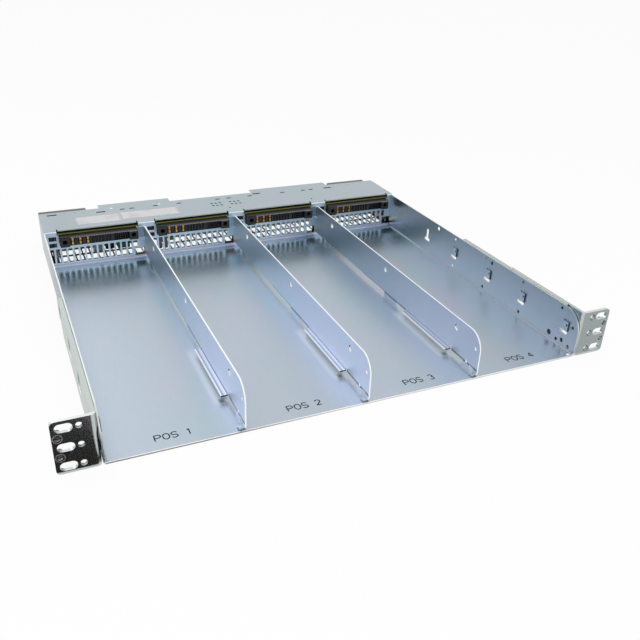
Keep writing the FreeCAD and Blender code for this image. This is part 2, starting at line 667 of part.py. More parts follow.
# Compartment cover: top plate, bulkhead and foot, folded from one sheet
def make_compartment_cover():
    body = make_body("compartment_cover")
    rear = f"({SHELF_END} + tab_reach)"
    back_face = "(bay_depth + sheet_gauge)"
    flange_front = "(bay_depth - bulkhead_flange)"
    section = Drawing(body, "cover_section", "YZ_Plane")
    section.polygon(
        (flange_front, "sheet_gauge"),
        (back_face, "sheet_gauge"),
        (back_face, "wall_height"),
        (rear, "wall_height"),
        (rear, COVER_TOP),
        ("bay_depth", COVER_TOP),
        ("bay_depth", ON_FLOOR),
        (flange_front, ON_FLOOR),
    )
    pad(body, section, "cover_sheet", f"2*{HALF_OUTER}", both=True)
    inner = ((back_face, "wall_height"), ("bay_depth", ON_FLOOR))
    outer = (("bay_depth", COVER_TOP), (back_face, "sheet_gauge"))
    round_edges(body, "cover_inner_bends", "bend_radius", 0, inner)
    round_edges(body, "cover_outer_bends", OUTER_BEND, 0, outer)

    trim_sides(body, "bulkhead_trim", "wall_height")

    tabs = Drawing(body, "rear_tabs", "XY_Plane")
    edges = (
        (f"-{HALF_OUTER} - sheet_gauge", "left_tab_start"),
        ("left_tab_end", "right_tab_start"),
        ("right_tab_end", f"{HALF_OUTER} + sheet_gauge"),
    )
    for left, right in edges:
        tabs.rectangle(left, right, SHELF_END, f"{rear} + tab_reach")
    pocket(body, tabs, "rear_edge")

    openings = Drawing(body, "connector_openings", "XZ_Plane")
    reliefs = Drawing(body, "fold_reliefs", "XZ_Plane")
    windows = Drawing(body, "bulkhead_windows", "XZ_Plane")
    vents = Drawing(body, "bulkhead_vent", "XZ_Plane")
    above = f"{COVER_TOP} + sheet_gauge"
    for bay in BAYS:
        left = bay_left(bay)
        start = f"{left} + opening_offset"
        end = f"{start} + {OPENING_WIDTH}"
        openings.rectangle(start, end, "opening_sill", above)
        fold_foot = f"{COVER_TOP} - fold_relief"
        reliefs.rectangle(f"{start} - relief_width", start, fold_foot, above)
        reliefs.rectangle(end, f"{end} + relief_width", fold_foot, above)
        side = f"{left} + window_offset"
        for low in ("lower_window", "upper_window"):
            windows.rectangle(side, f"{side} + window_width", low, f"{low} + window_height")
        last = f"{left} + vent_first + vent_count*vent_pitch"
        windows.rectangle(last, f"{last} + vent_width", "split_top + split_bar", "vent_top")
        corner = f"{left} + bay_width"
        windows.rectangle(f"{corner} - notch_width", corner, "notch_bottom", "split_top")
        first = f"{left} + vent_first"
        vents.rectangle(first, f"{first} + vent_width", "vent_bottom", "vent_top")
    pocket(body, openings, "openings", "bay_depth + opening_setback")
    pocket(body, reliefs, "opening_reliefs", "bay_depth + fold_relief")
    pocket(body, windows, "windows")
    slot = pocket(body, vents, "vent")
    repeat(body, slot, "vents", "X_Axis", "vent_pitch", "vent_count")

    top = Drawing(body, "cover_top_holes", "XY_Plane")
    row = f"{SHELF_END} - top_slot_inset"
    for across in TOP_SLOTS_ACROSS:
        top.rectangle(
            f"{across} - top_slot_length/2", f"{across} + top_slot_length/2",
            f"{row} - top_slot_width/2", f"{row} + top_slot_width/2",
        )
    for across, inset in LONG_SLOTS:
        top.rectangle(
            f"{across} - long_slot_length/2", f"{across} + long_slot_length/2",
            f"{SHELF_END} - {inset} - long_slot_width/2",
            f"{SHELF_END} - {inset} + long_slot_width/2",
        )
    for side in (-1, 1):
        for column in (-1, 0, 1):
            for line in (0, 1):
                top.circle(
                    f"{side}*pin_group + {column}*pin_pitch",
                    f"{SHELF_END} - pin_inset + {line}*pin_row",
                    "pin_hole",
                )
    for number in DIVIDERS:
        top.circle(divider_across(number), f"{SHELF_END} - pilot_inset", "pilot_hole")
    pocket(body, top, "cover_top_cuts")
    return keep(body, "compartment_cover")


# Divider: one folded sheet that stands between two bays
def make_divider(number):
    body = make_body(f"divider_{number}")
    left_face = "(-sheet_gauge/2)"
    right_face = "(sheet_gauge/2)"
    plate = Drawing(body, "divider_outline", "YZ_Plane")
    plate.polygon(
        ("divider_front", "foot_up"),
        ("foot_end", "foot_up"),
        ("foot_end", "foot_slit_top"),
        ("foot_slit + relief_width", "foot_slit_top"),
        ("foot_slit + relief_width", "sheet_gauge"),
        ("front_window_start", "sheet_gauge"),
        ("front_window_start", "front_window_top"),
        ("front_window_end", "front_window_top"),
        ("front_window_end", "sheet_gauge"),
        ("rear_window_start", "sheet_gauge"),
        ("rear_window_start", "rear_window_top"),
        ("bay_depth", "rear_window_top"),
        ("bay_depth", "divider_flange_high"),
        ("bay_depth - relief_depth", "divider_flange_high"),
        ("bay_depth - relief_depth", "divider_height"),
        ("divider_front", "divider_height"),
    )
    pad(body, plate, "divider_plate", "sheet_gauge", both=True)
    nose = (("divider_front", "divider_height"),)
    round_edges(body, "divider_nose", "divider_nose", 0, nose)

    lip = Drawing(body, "lip_outline", "XY_Plane", "front_window_top")
    lip.rectangle(f"{left_face} - lip_reach", right_face, "lip_start", "lip_end")
    pad(body, lip, "lip", "sheet_gauge")
    foot = Drawing(body, "foot_outline", "XZ_Plane", "-divider_front")
    foot_left = f"{left_face} - foot_reach"
    foot_top = "foot_up + sheet_gauge"
    foot.polygon(
        (foot_left, "foot_leg_low"),
        (f"{foot_left} + sheet_gauge", "foot_leg_low"),
        (f"{foot_left} + sheet_gauge", "foot_up"),
        (right_face, "foot_up"),
        (right_face, foot_top),
        (foot_left, foot_top),
    )
    pad(body, foot, "foot", "foot_leg_end - divider_front", back=True)
    flange = Drawing(body, "flange_outline", "XZ_Plane", "-bay_depth")
    flange.rectangle(
        f"{left_face} - divider_flange_reach", right_face,
        "divider_flange_low", "divider_flange_high",
    )
    pad(body, flange, "rear_flange", "sheet_gauge")

    cuts = Drawing(body, "divider_cuts", "YZ_Plane")
    for place in (0, 1, 2):
        along = f"divider_hole_first + {place}*divider_hole_pitch"
        cuts.circle(along, "divider_hole_up", "divider_hole")
    cuts.circle("divider_front + upper_pin_along", "upper_pin_up", "divider_pin_hole")
    cuts.circle("foot_slit + lower_pin_along", "front_window_top + lower_pin_up", "divider_pin_hole")
    for start in ("lip_start - relief_width", "lip_end"):
        cuts.rectangle(
            start, f"{start} + relief_width",
            "front_window_top - sheet_gauge", "front_window_top + relief_depth",
        )
    cuts.rectangle(
        "bay_depth - relief_depth", "bay_depth + sheet_gauge",
        "divider_flange_low - relief_width", "divider_flange_low",
    )
    pocket(body, cuts, "divider_holes")

    fold_low = "front_window_top"
    lip_span = ("lip_start", "lip_end")
    flange_span = ("divider_flange_low", "divider_flange_high")
    round_edges(body, "lip_outer_bend", OUTER_BEND, 1, ((right_face, fold_low),), lip_span)
    inner = ((left_face, f"{fold_low} + sheet_gauge"),)
    round_edges(body, "lip_inner_bend", "bend_radius", 1, inner, lip_span)
    outer = ((right_face, "bay_depth"),)
    round_edges(body, "flange_outer_bend", OUTER_BEND, 2, outer, flange_span)
    inner = ((left_face, "bay_depth - sheet_gauge"),)
    round_edges(body, "flange_inner_bend", "bend_radius", 2, inner, flange_span)
    bind(body, "Placement.Base.x", divider_across(number))
    return keep(body, f"divider_{number}")


# Rack ear: thick plate folded once, with four hooks pressed out of its arm
def make_ear_bracket():
    body = make_body("ear_bracket_left")
    section = Drawing(body, "ear_section", "XY_Plane")
    section.polygon(
        (f"-{EAR_EDGE}", "0"),
        (f"-{ARM_INNER}", "0"),
        (f"-{ARM_INNER}", TAIL_END),
        (f"-{ARM_OUTER}", TAIL_END),
        (f"-{ARM_OUTER}", "ear_gauge"),
        (f"-{EAR_EDGE}", "ear_gauge"),
    )
    pad(body, section, "ear_plate", "panel_height")

    above = "panel_height + ear_gauge"
    beyond = f"{TAIL_END} + ear_gauge"
    arm_top = "panel_height - arm_step"
    shape = Drawing(body, "arm_trim", "YZ_Plane")
    shape.polygon(
        ("arm_full", above), ("arm_full", arm_top), (ARM_END, arm_top),
        (ARM_END, "tail_high"), (beyond, "tail_high"), (beyond, above),
    )
    shape.polygon(
        ("arm_full", "-ear_gauge"), ("arm_full", "arm_step"), (ARM_END, "arm_step"),
        (ARM_END, "tail_low"), (beyond, "tail_low"), (beyond, "-ear_gauge"),
    )
    window_low = "key_mouth_bottom - mouth_margin"
    window_top = "hook_low + hook_height + relief_width"
    for number in HOOKS:
        neck = f"({key_along(number)} + hook_shift)"
        window_front = f"{neck} - hook_window"
        window_rear = f"{key_along(number)} + key_mouth_width/2 + mouth_margin"
        shape.polygon(
            (window_front, window_low), (window_rear, window_low),
            (window_rear, "key_mouth_top"), (neck, "key_mouth_top"),
            (neck, window_top), (window_front, window_top),
        )
    pocket(body, shape, "arm_outline")
    corners = ((ARM_END, arm_top), (ARM_END, "arm_step"))
    round_edges(body, "arm_corners", "arm_corner", 0, corners)
    corners = ((TAIL_END, "tail_high"), (TAIL_END, "tail_low"))
    round_edges(body, "tail_corners", "tail_corner", 0, corners)
    corners = ((f"-{EAR_EDGE}", "0"), (f"-{EAR_EDGE}", "panel_height"))
    round_edges(body, "ear_corners", "ear_corner", 1, corners)
    fold = (f"-{ARM_OUTER}", "ear_gauge")
    round_edges(body, "ear_inner_bend", "ear_bend", 2, (fold,))
    fold = (f"-{ARM_INNER}", "0")
    round_edges(body, "ear_outer_bend", "ear_bend + ear_gauge", 2, (fold,))

    holes = Drawing(body, "ear_holes", "XZ_Plane")
    middle = "panel_height/2"
    slot_across = f"-({EAR_EDGE} - rack_slot_inset)"
    for step in (-1, 0, 1):
        up = f"{middle} + {step}*rack_rise"
        holes.oblong(slot_across, up, "rack_slot_length", "rack_slot_width")
        holes.circle(f"-({EAR_EDGE} - ear_hole_inset)", up, "ear_hole")
    for step in (-1, 1):
        holes.circle(f"-({EAR_EDGE} - ear_tap_inset)", f"{middle} + {step}*rack_rise/2", "ear_tap")
    pocket(body, holes, "ear_openings")

    hooks = Drawing(body, "hook_sections", "XY_Plane", "hook_low")
    head_outer = f"-({HALF_INNER} - hook_gap)"
    head_inner = f"-({HALF_INNER} - hook_gap - hook_thickness)"
    arm_middle = f"-({ARM_INNER} + ear_gauge/2)"
    pilots = Drawing(body, "hook_pilots", "YZ_Plane")
    folds = []
    for number in HOOKS:
        near = f"({key_along(number)} + hook_shift)"
        far = f"({near} + hook_thickness)"
        folds.append((head_inner, far))
        hooks.polygon(
            (arm_middle, near), (head_outer, near), (head_outer, f"{near} - hook_head"),
            (head_inner, f"{near} - hook_head"), (head_inner, far), (arm_middle, far),
        )
        pilots.circle(f"{near} - hook_pilot_along", "hook_low + hook_pilot_up", "hook_pilot")
    pad(body, hooks, "hooks", "hook_height")
    round_edges(body, "hook_bends", "hook_bend", 2, folds)
    pocket(body, pilots, "hook_holes")
    return keep(body, "ear_bracket_left")


# Rear panel: one folded sheet with slots for the exhaust air
def make_rear_panel():
    body = make_body("rear_panel")
    inside = f"({SHELF_END} - sheet_gauge)"
    fold_front = f"({SHELF_END} - sheet_gauge - rear_flange)"
    section = Drawing(body, "panel_section", "YZ_Plane")
    section.polygon(
        (fold_front, "sheet_gauge"),
        (SHELF_END, "sheet_gauge"),
        (SHELF_END, "wall_height"),
        (fold_front, "wall_height"),
        (fold_front, "wall_height - sheet_gauge"),
        (inside, "wall_height - sheet_gauge"),
        (inside, ON_FLOOR),
        (fold_front, ON_FLOOR),
    )
    pad(body, section, "panel_sheet", f"2*{HALF_INNER}", both=True)
    inner = ((inside, ON_FLOOR), (inside, "wall_height - sheet_gauge"))
    outer = ((SHELF_END, "sheet_gauge"), (SHELF_END, "wall_height"))
    round_edges(body, "panel_inner_bends", "bend_radius", 0, inner)
    round_edges(body, "panel_outer_bends", OUTER_BEND, 0, outer)

    trim_sides(body, "panel_trim", "wall_height + sheet_gauge")

    openings = Drawing(body, "panel_openings", "XZ_Plane")
    openings.rectangle(
        "bar_middle - bar_split/2 - bar_width - bushing_margin",
        "bar_middle + bar_split/2 + bar_width + bushing_margin",
        "bar_top - bar_gauge - bushing_margin",
        "bar_top + bushing_margin",
    )
    openings.rectangle(
        "signal_across", "signal_across + signal_width",
        "signal_low", "signal_low + signal_height",
    )
    openings.circle("stud_across", "stud_up", "stud_size")
    pocket(body, openings, "panel_cuts")
    vents = Drawing(body, "panel_vent", "XZ_Plane")
    for start in ("rear_vent_left", "rear_vent_right"):
        vents.rectangle(start, f"{start} + vent_width", "rear_vent_bottom", "rear_vent_top")
    slot = pocket(body, vents, "panel_slot")
    repeat(body, slot, "panel_slots", "X_Axis", "vent_pitch", "rear_vent_count")
    return keep(body, "rear_panel")


# Backplane board, its posts and its screws
def post_places():
    """Across places of the board's posts, from left to right."""
    left = f"(-{HALF_INNER} + post_left_side)"
    right = f"({HALF_INNER} - post_right_side)"
    return [left] + [f"({divider_across(n)} + post_shift)" for n in DIVIDERS] + [right]


def make_backplane_board():
    blank = block(
        "board_blank",
        (f"-{HALF_INNER} + sheet_gauge", f"{HALF_INNER} - sheet_gauge"),
        ("bay_depth + board_setback", f"{SHELF_END} - board_rear_gap"),
        (BOARD_BOTTOM, "board_top"),
    )
    # The bulkhead's tabs between the openings stand in these notches of the front edge
    notches = []
    notch_rear = "bay_depth + sheet_gauge + fit_gap"
    low = f"{BOARD_BOTTOM} - board_thickness"
    high = "board_top + board_thickness"
    ends = [f"-{HALF_INNER}"] + [bay_left(bay) for bay in BAYS[1:]]
    for bay, start in enumerate(ends):
        previous = "0" if bay == 0 else "(opening_margin + sheet_gauge)"
        notches.append(block(
            f"board_notch_{bay}",
            (f"{start} - {previous}", f"{start} + opening_offset + fit_gap"),
            ("bay_depth", notch_rear),
            (low, high),
        ))
    last = f"{bay_left(3)} + opening_offset + {OPENING_WIDTH}"
    notches.append(block(
        "board_notch_4", (f"{last} - fit_gap", HALF_INNER), ("bay_depth", notch_rear), (low, high),
    ))
    holes = [
        rod(f"board_hole_{place}", "z", "screw_hole", (across, "bay_depth + post_back"), low, high)
        for place, across in enumerate(post_places())
    ]
    return keep(carved("board", blank, notches + holes), "backplane_board")


def make_board_posts():
    posts = []
    for place, across in enumerate(post_places()):
        centre = (across, "bay_depth + post_back")
        column = rod(f"post_{place}", "z", "post_flats", centre, "sheet_gauge", BOARD_BOTTOM, 6)
        bore_start = f"{BOARD_BOTTOM} - screw_length"
        bore = rod(f"post_bore_{place}", "z", "screw_thread", centre, bore_start, "board_top")
        posts.append(carved(f"drilled_post_{place}", column, [bore]))
    return keep(group("posts", posts), "board_posts")


def make_board_screws():
    screws = []
    for place, across in enumerate(post_places()):
        centre = (across, "bay_depth + post_back")
        head_top = "board_top + screw_head_height"
        shank_foot = f"{BOARD_BOTTOM} - screw_length"
        shank = rod(f"shank_{place}", "z", "screw_thread", centre, shank_foot, "board_top")
        head = rod(f"head_{place}", "z", "screw_head", centre, "board_top", head_top)
        screws.append(joined(f"screw_{place}", [shank, head]))
    return keep(group("screws", screws), "board_screws")


# Supply connectors with their contacts
def socket_span(bay):
    """Left and right side of a bay's connector."""
    edge = f"{bay_left(bay)} + opening_offset"
    return f"({edge} + socket_gap)", f"({edge} + {OPENING_WIDTH} - socket_gap)"


SOCKET_FRONT = "(bay_depth - socket_front)"
SOCKET_LOW = f"({BOARD_BOTTOM} - socket_height)"
SLOT_END = f"({SOCKET_FRONT} + blade_slot_depth)"
POWER_BLADES = 3
# As many narrow contacts as fit in front of the signal pins
FIN_BLADES = int((length(PIN_FIELD) - length("fin_first")) / length("fin_pitch"))
PIN_COLUMNS = 6
PIN_ROWS = 3


def blade_places(bay):
    """Middle, width and slot width of each flat contact of a bay's connector."""
    edge = f"{bay_left(bay)} + opening_offset"
    power = [
        (f"({edge} + blade_first + {n}*blade_pitch)", "blade_width", "blade_slot")
        for n in range(POWER_BLADES)
    ]
    fins = [
        (f"({edge} + fin_first + {n}*fin_pitch)", "fin_width", "fin_slot")
        for n in range(FIN_BLADES)
    ]
    return power + fins


def make_connector(bay):
    tag = bay + 1
    left, right = socket_span(bay)
    before = f"{SOCKET_FRONT} - guide_reach - sheet_gauge"
    housing = block(
        f"housing_{tag}", (left, right),
        (SOCKET_FRONT, "bay_depth + socket_back"), (SOCKET_LOW, BOARD_BOTTOM),
    )
    guides = [
        block(
            f"guide_{tag}_{side}", span,
            (f"{SOCKET_FRONT} - guide_reach", f"{SOCKET_FRONT} + guide_width"),
            (SOCKET_LOW, f"{BOARD_BOTTOM} - sheet_gauge"),
        )
        for side, span in enumerate((
            (left, f"{left} + guide_width"), (f"{right} - guide_width", right),
        ))
    ]
    middle_up = f"{SOCKET_LOW} + socket_height/2"
    cuts = [
        rod(f"guide_bore_{tag}_{side}", "y", "guide_bore", (across, middle_up), before, SLOT_END)
        for side, across in enumerate((
            f"{left} + guide_width/2", f"{right} - guide_width/2",
        ))
    ]
    cuts.append(block(
        f"recess_{tag}",
        (f"{left} + guide_width", f"{right} - guide_width"),
        (before, f"{SOCKET_FRONT} + socket_brow"),
        (SOCKET_LOW, f"{BOARD_BOTTOM} - socket_brow_height"),
    ))
    for number, (middle, _, slot) in enumerate(blade_places(bay)):
        cuts.append(block(
            f"blade_slot_{tag}_{number}",
            (f"{middle} - {slot}/2", f"{middle} + {slot}/2"),
            (before, SLOT_END), ("blade_low - blade_room", "blade_high + blade_room"),
        ))
    field = f"{bay_left(bay)} + opening_offset + {PIN_FIELD}"
    cuts.append(block(
        f"pin_recess_{tag}", (field, f"{field} + pin_field_width"),
        (before, SLOT_END), ("blade_low - blade_room", "blade_high + blade_room"),
    ))
    return keep(carved(f"socket_{tag}", joined(f"shell_{tag}", [housing] + guides), cuts),
                f"connector_{tag}")


def make_power_contacts(bay):
    tag = bay + 1
    blades = [
        block(
            f"blade_{tag}_{number}",
            (f"{middle} - {width}/2", f"{middle} + {width}/2"),
            (f"{SLOT_END} - blade_reach", SLOT_END), ("blade_low", "blade_high"),
        )
        for number, (middle, width, _) in enumerate(blade_places(bay))
    ]
    return keep(group(f"blades_{tag}", blades), f"power_contacts_{tag}")


def make_signal_pins(bay):
    tag = bay + 1
    field = f"{bay_left(bay)} + opening_offset + {PIN_FIELD}"
    pins = []
    for column in range(PIN_COLUMNS):
        across = f"({field} + pin_field_width/2 + {column - (PIN_COLUMNS - 1) / 2}*pin_field_pitch)"
        for row in range(PIN_ROWS):
            up = f"((blade_low + blade_high)/2 + {row - (PIN_ROWS - 1) / 2}*pin_field_pitch)"
            pins.append(block(
                f"pin_{tag}_{column}_{row}",
                (f"{across} - pin_size/2", f"{across} + pin_size/2"),
                (f"{SLOT_END} - blade_reach", SLOT_END),
                (f"{up} - pin_size/2", f"{up} + pin_size/2"),
            ))
    return keep(group(f"pins_{tag}", pins), f"signal_pins_{tag}")


# Tinned lugs and small upright boards that hang from the backplane board
def bay_places(places):
    """Across places given as a bay and a distance from its left side."""
    return [f"({bay_left(bay)} + {offset})" for bay, offset in places]


def make_hanging_parts():
    front = "bay_depth + lug_back"
    lugs = [
        block(
            f"lug_{number}", (f"{middle} - lug_width/2", f"{middle} + lug_width/2"),
            (front, f"{front} + lug_depth"), ("lug_low", BOARD_BOTTOM),
        )
        for number, middle in enumerate(bay_places(LUGS))
    ]
    keep(group("lugs", lugs), "bus_lugs")
    risers = [
        block(
            f"riser_{number}", (f"{middle} - riser_width/2", f"{middle} + riser_width/2"),
            (front, f"{front} + riser_thickness"), ("lug_low", BOARD_BOTTOM),
        )
        for number, middle in enumerate(bay_places(RISERS))
    ]
    keep(group("risers", risers), "riser_boards")


# Bus bars: flat copper, folded twice from the board's underside to the rear
def bar_centre(side):
    """Middle of a bus bar: side is -1 for the left one and 1 for the right one."""
    return f"(bar_middle + {side}*(bar_split + bar_width)/2)"


def make_busbar(side, label):
    body = make_body(label)
    foot_end = f"({BAR_FOOT} + bar_foot_length)"
    foot_top = BOARD_BOTTOM
    tail_top = "bar_top"
    section = Drawing(body, "bar_section", "YZ_Plane")
    section.polygon(
        (BAR_FOOT, f"{foot_top} - bar_gauge"),
        (f"{foot_end} - bar_gauge", f"{foot_top} - bar_gauge"),
        (f"{foot_end} - bar_gauge", f"{tail_top} - bar_gauge"),
        (BAR_END, f"{tail_top} - bar_gauge"),
        (BAR_END, tail_top),
        (foot_end, tail_top),
        (foot_end, foot_top),
        (BAR_FOOT, foot_top),
    )
    pad(body, section, "bar", "bar_width", both=True)
    outer = (
        (foot_end, foot_top),
        (f"{foot_end} - bar_gauge", f"{tail_top} - bar_gauge"),
    )
    round_edges(body, "bar_bends", "bar_gauge", 0, outer)
    holes = Drawing(body, "bar_holes", "XY_Plane")
    for place in (-1, 1):
        holes.circle(f"{place}*bar_hole_side", f"{BAR_END} - bar_hole_inset", "bar_hole")
    pocket(body, holes, "bar_bolt_holes")
    ends = (("-bar_width/2", BAR_END), ("bar_width/2", BAR_END))
    round_edges(body, "bar_corners", "bar_gauge", 2, ends)
    bind(body, "Placement.Base.x", bar_centre(side))
    return keep(body, label)


def make_busbar_bushing():
    left = "bar_middle - bar_split/2 - bar_width - bushing_margin"
    right = "bar_middle + bar_split/2 + bar_width + bushing_margin"
    low = "bar_top - bar_gauge - bushing_margin"
    high = "bar_top + bushing_margin"
    before = f"{SHELF_END} - bushing_depth"
    behind = f"{SHELF_END} + bushing_depth/2"
    plug = block("bushing_plug", (left, right), (before, behind), (low, high))
    lip = block(
        "bushing_lip",
        (f"{left} - bushing_margin", f"{right} + bushing_margin"),
        (SHELF_END, behind),
        (f"{low} - bushing_margin", f"{high} + bushing_margin"),
    )
    holes = [
        block(
            f"bushing_hole_{side + 1}",
            (f"{bar_centre(side)} - bar_width/2 - bushing_gap",
             f"{bar_centre(side)} + bar_width/2 + bushing_gap"),
            (f"{before} - bar_gauge", f"{behind} + bar_gauge"),
            ("bar_top - bar_gauge - bushing_gap", "bar_top + bushing_gap"),
        )
        for side in (-1, 1)
    ]
    solid = carved("bushing", joined("bushing_body", [plug, lip]), holes)
    return keep(solid, "busbar_bushing")


# Mains terminals at the left, mirrored to the right
def make_terminals():
    left = f"(-{HALF_INNER} + terminal_side)"
    right = f"({left} + terminal_width)"
    top = "terminal_low + terminal_height"
    rear = f"({SHELF_END} + terminal_depth)"
    cell = "((terminal_width - terminal_wall)/terminal_count)"
    strip = block("terminal_strip", (left, right), (SHELF_END, rear), ("terminal_low", top))
    cells = []
    screws = []
    base = f"({SHELF_END} + terminal_base)"
    for number in range(int(length("terminal_count"))):
        start = f"({left} + terminal_wall + {number}*{cell})"
        middle = f"({start} + ({cell} - terminal_wall)/2)"
        up = "terminal_low + terminal_height/2"
        cells.append(block(
            f"terminal_cell_{number}", (start, f"{start} + {cell} - terminal_wall"),
            (base, f"{rear} + terminal_wall"),
            ("terminal_low + terminal_wall", f"{top} - terminal_wall"),
        ))
        head_rear = f"{base} + terminal_head_height"
        head = rod(f"terminal_head_{number}", "y", "terminal_head", (middle, up), base, head_rear)
        slit = block(
            f"terminal_slit_{number}", (f"{middle} - terminal_head", f"{middle} + terminal_head"),
            (f"{base} + terminal_head_height/2", f"{head_rear} + terminal_slit"),
            (f"{up} - terminal_slit/2", f"{up} + terminal_slit/2"),
        )
        screws.append(carved(f"terminal_screw_{number}", head, [slit]))
    terminal = keep(carved("terminal_body", strip, cells), "ac_terminal_block_left")
    keep_mirrored(terminal, "ac_terminal_block_right")
    heads = keep(group("terminal_heads", screws), "terminal_screws_left")
    keep_mirrored(heads, "terminal_screws_right")


def make_terminal_covers():
    body = make_body("terminal_cover_left")
    left = f"(-{HALF_INNER})"
    right = f"({left} + guard_width)"
    rear = f"({SHELF_END} + guard_reach)"
    section = Drawing(body, "guard_section", "XZ_Plane", f"-{SHELF_END}")
    section.polygon(
        (left, "guard_low"),
        (f"{left} + guard_gauge", "guard_low"),
        (f"{left} + guard_gauge", "guard_top - guard_gauge"),
        (f"{right} - guard_gauge", "guard_top - guard_gauge"),
        (f"{right} - guard_gauge", "guard_low"),
        (right, "guard_low"),
        (right, "guard_top"),
        (left, "guard_top"),
    )
    pad(body, section, "guard_shell", "guard_reach", back=True)
    ear = Drawing(body, "guard_ear_outline", "XZ_Plane", f"-{SHELF_END}")
    ear_left = f"{right} - guard_gauge"
    ear_right = f"{right} + guard_ear"
    ear.rectangle(ear_left, ear_right, "guard_low + guard_ear", "guard_top")
    pad(body, ear, "guard_ear", "guard_gauge", back=True)
    hole = Drawing(body, "guard_hole", "XZ_Plane")
    hole.circle(f"{right} + guard_ear/2", "guard_top - guard_ear/2", "guard_screw_hole")
    pocket(body, hole, "guard_fixing_hole")
    corners = ((left, "guard_top"), (right, "guard_top"))
    span = (f"{SHELF_END} + guard_gauge", rear)
    round_edges(body, "guard_corners", "guard_gauge", 1, corners, span)
    cover = keep(body, "terminal_cover_left")
    keep_mirrored(cover, "terminal_cover_right")


# Signal socket and earth stud of the rear panel
def make_signal_socket():
    left = "signal_across"
    right = "signal_across + signal_width"
    high = "signal_low + signal_height"
    rear = f"({SHELF_END} + signal_stand)"
    case = block(
        "signal_case", (left, right), (f"{rear} - signal_depth", rear), ("signal_low", high),
    )
    mouth = block(
        "signal_mouth", (f"{left} + signal_wall", f"{right} - signal_wall"),
        (f"{rear} - signal_depth + 2*signal_wall", f"{rear} + signal_wall"),
        ("signal_low + 3*signal_wall", f"{high} - signal_wall"),
    )
    key = block(
        "signal_key", (f"{left} + signal_width/4", f"{right} - signal_width/4"),
        (f"{rear} - signal_depth/2", f"{rear} + signal_wall"),
        ("signal_low + signal_wall", "signal_low + 4*signal_wall"),
    )
    cut = carved("signal_body", case, [joined("signal_hollow", [mouth, key])])
    return keep(cut, "signal_socket")


def make_ground_stud():
    centre = ("stud_across", "stud_up")
    inside = f"({SHELF_END} - sheet_gauge)"
    head = rod("stud_head_disc", "y", "stud_head", centre, f"{inside} - stud_head_height", inside)
    shank = rod(
        "stud_shank", "y", "stud_size", centre, inside, f"{SHELF_END} + stud_length",
    )
    keep(joined("stud", [head, shank]), "ground_stud")
    nut = rod("nut_blank", "y", "nut_size", centre, SHELF_END, f"{SHELF_END} + nut_height", 6)
    bore = rod("nut_bore", "y", "stud_size", centre, inside, f"{SHELF_END} + stud_length")
    keep(carved("nut", nut, [bore]), "ground_nut")


make_chassis_pan()
make_compartment_cover()
for number in DIVIDERS:
    make_divider(number)
keep_mirrored(make_ear_bracket(), "ear_bracket_right")
make_rear_panel()
make_backplane_board()
make_board_posts()
make_board_screws()
for bay in BAYS:
    make_connector(bay)
    make_power_contacts(bay)
    make_signal_pins(bay)
make_hanging_parts()
make_busbar(-1, "busbar_negative")
make_busbar(1, "busbar_positive")
make_busbar_bushing()
make_terminals()
make_terminal_covers()
make_signal_socket()
make_ground_stud()

document.recompute()
for thing in document.Objects:
    if {"Invalid", "Error"} & set(thing.State):
        raise RuntimeError(f"{thing.Name} is {thing.State}")
os.makedirs("parts", exist_ok=True)
for thing in nodes:
    shape = thing.Shape
    if shape.isNull() or not shape.isValid() or not shape.Solids:
        raise RuntimeError(f"{thing.Label} has no sound solid")
    shape.exportStep(os.path.join("parts", f"{thing.Label}.step"))
    print(f"{thing.Label}: {len(shape.Solids)} solids, {shape.Volume / 1000:.2f} cm3")
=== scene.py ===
import logging
import math
from dataclasses import dataclass
from enum import Enum
from typing import Sequence, Union

import bpy
import numpy as np
from mathutils import Matrix, Vector


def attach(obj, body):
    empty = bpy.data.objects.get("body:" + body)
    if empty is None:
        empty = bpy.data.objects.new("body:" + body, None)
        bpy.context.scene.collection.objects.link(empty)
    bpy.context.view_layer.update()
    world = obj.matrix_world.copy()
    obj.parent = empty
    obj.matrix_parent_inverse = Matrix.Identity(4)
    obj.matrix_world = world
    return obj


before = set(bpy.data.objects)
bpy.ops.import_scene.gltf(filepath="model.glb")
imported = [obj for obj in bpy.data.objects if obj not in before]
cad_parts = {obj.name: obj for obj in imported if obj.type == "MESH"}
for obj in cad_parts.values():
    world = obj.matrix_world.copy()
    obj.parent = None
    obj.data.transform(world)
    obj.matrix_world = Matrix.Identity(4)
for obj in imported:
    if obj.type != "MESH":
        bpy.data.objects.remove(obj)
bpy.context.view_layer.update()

LOG = logging.getLogger("power_shelf")
MM = 0.001
ROOT = "root"

# Places that the part's solids fix, in millimetres in the part's own frame
FRONT_EDGE = -221.0
FLOOR_TOP = 1.2
BULKHEAD_FACE = 129.2
INNER_HALF = 208.8
BAYS = 4
BAY_WIDTH = 103.5
SHEET = 1.2
COVER_TOP = 43.4
BOARD_LOW = 38.2
DIVIDERS = (-104.7, 0.0, 104.7)
KEYHOLES = tuple(FRONT_EDGE + along for along in (18.0, 81.0, 138.0, 201.0, 258.0))

# Radius at which the profile of a turned piece ends in a point
TIP = 0.01

Colour = tuple[float, float, float]
Triple = tuple[float, float, float]
Span = tuple[float, float]
Paint = Union[Colour, bpy.types.NodeSocket]


def bay_left(bay: int) -> float:
    """Left side of a bay in millimetres, numbered from 0 at the left."""
    return -INNER_HALF + bay * (BAY_WIDTH + SHEET)


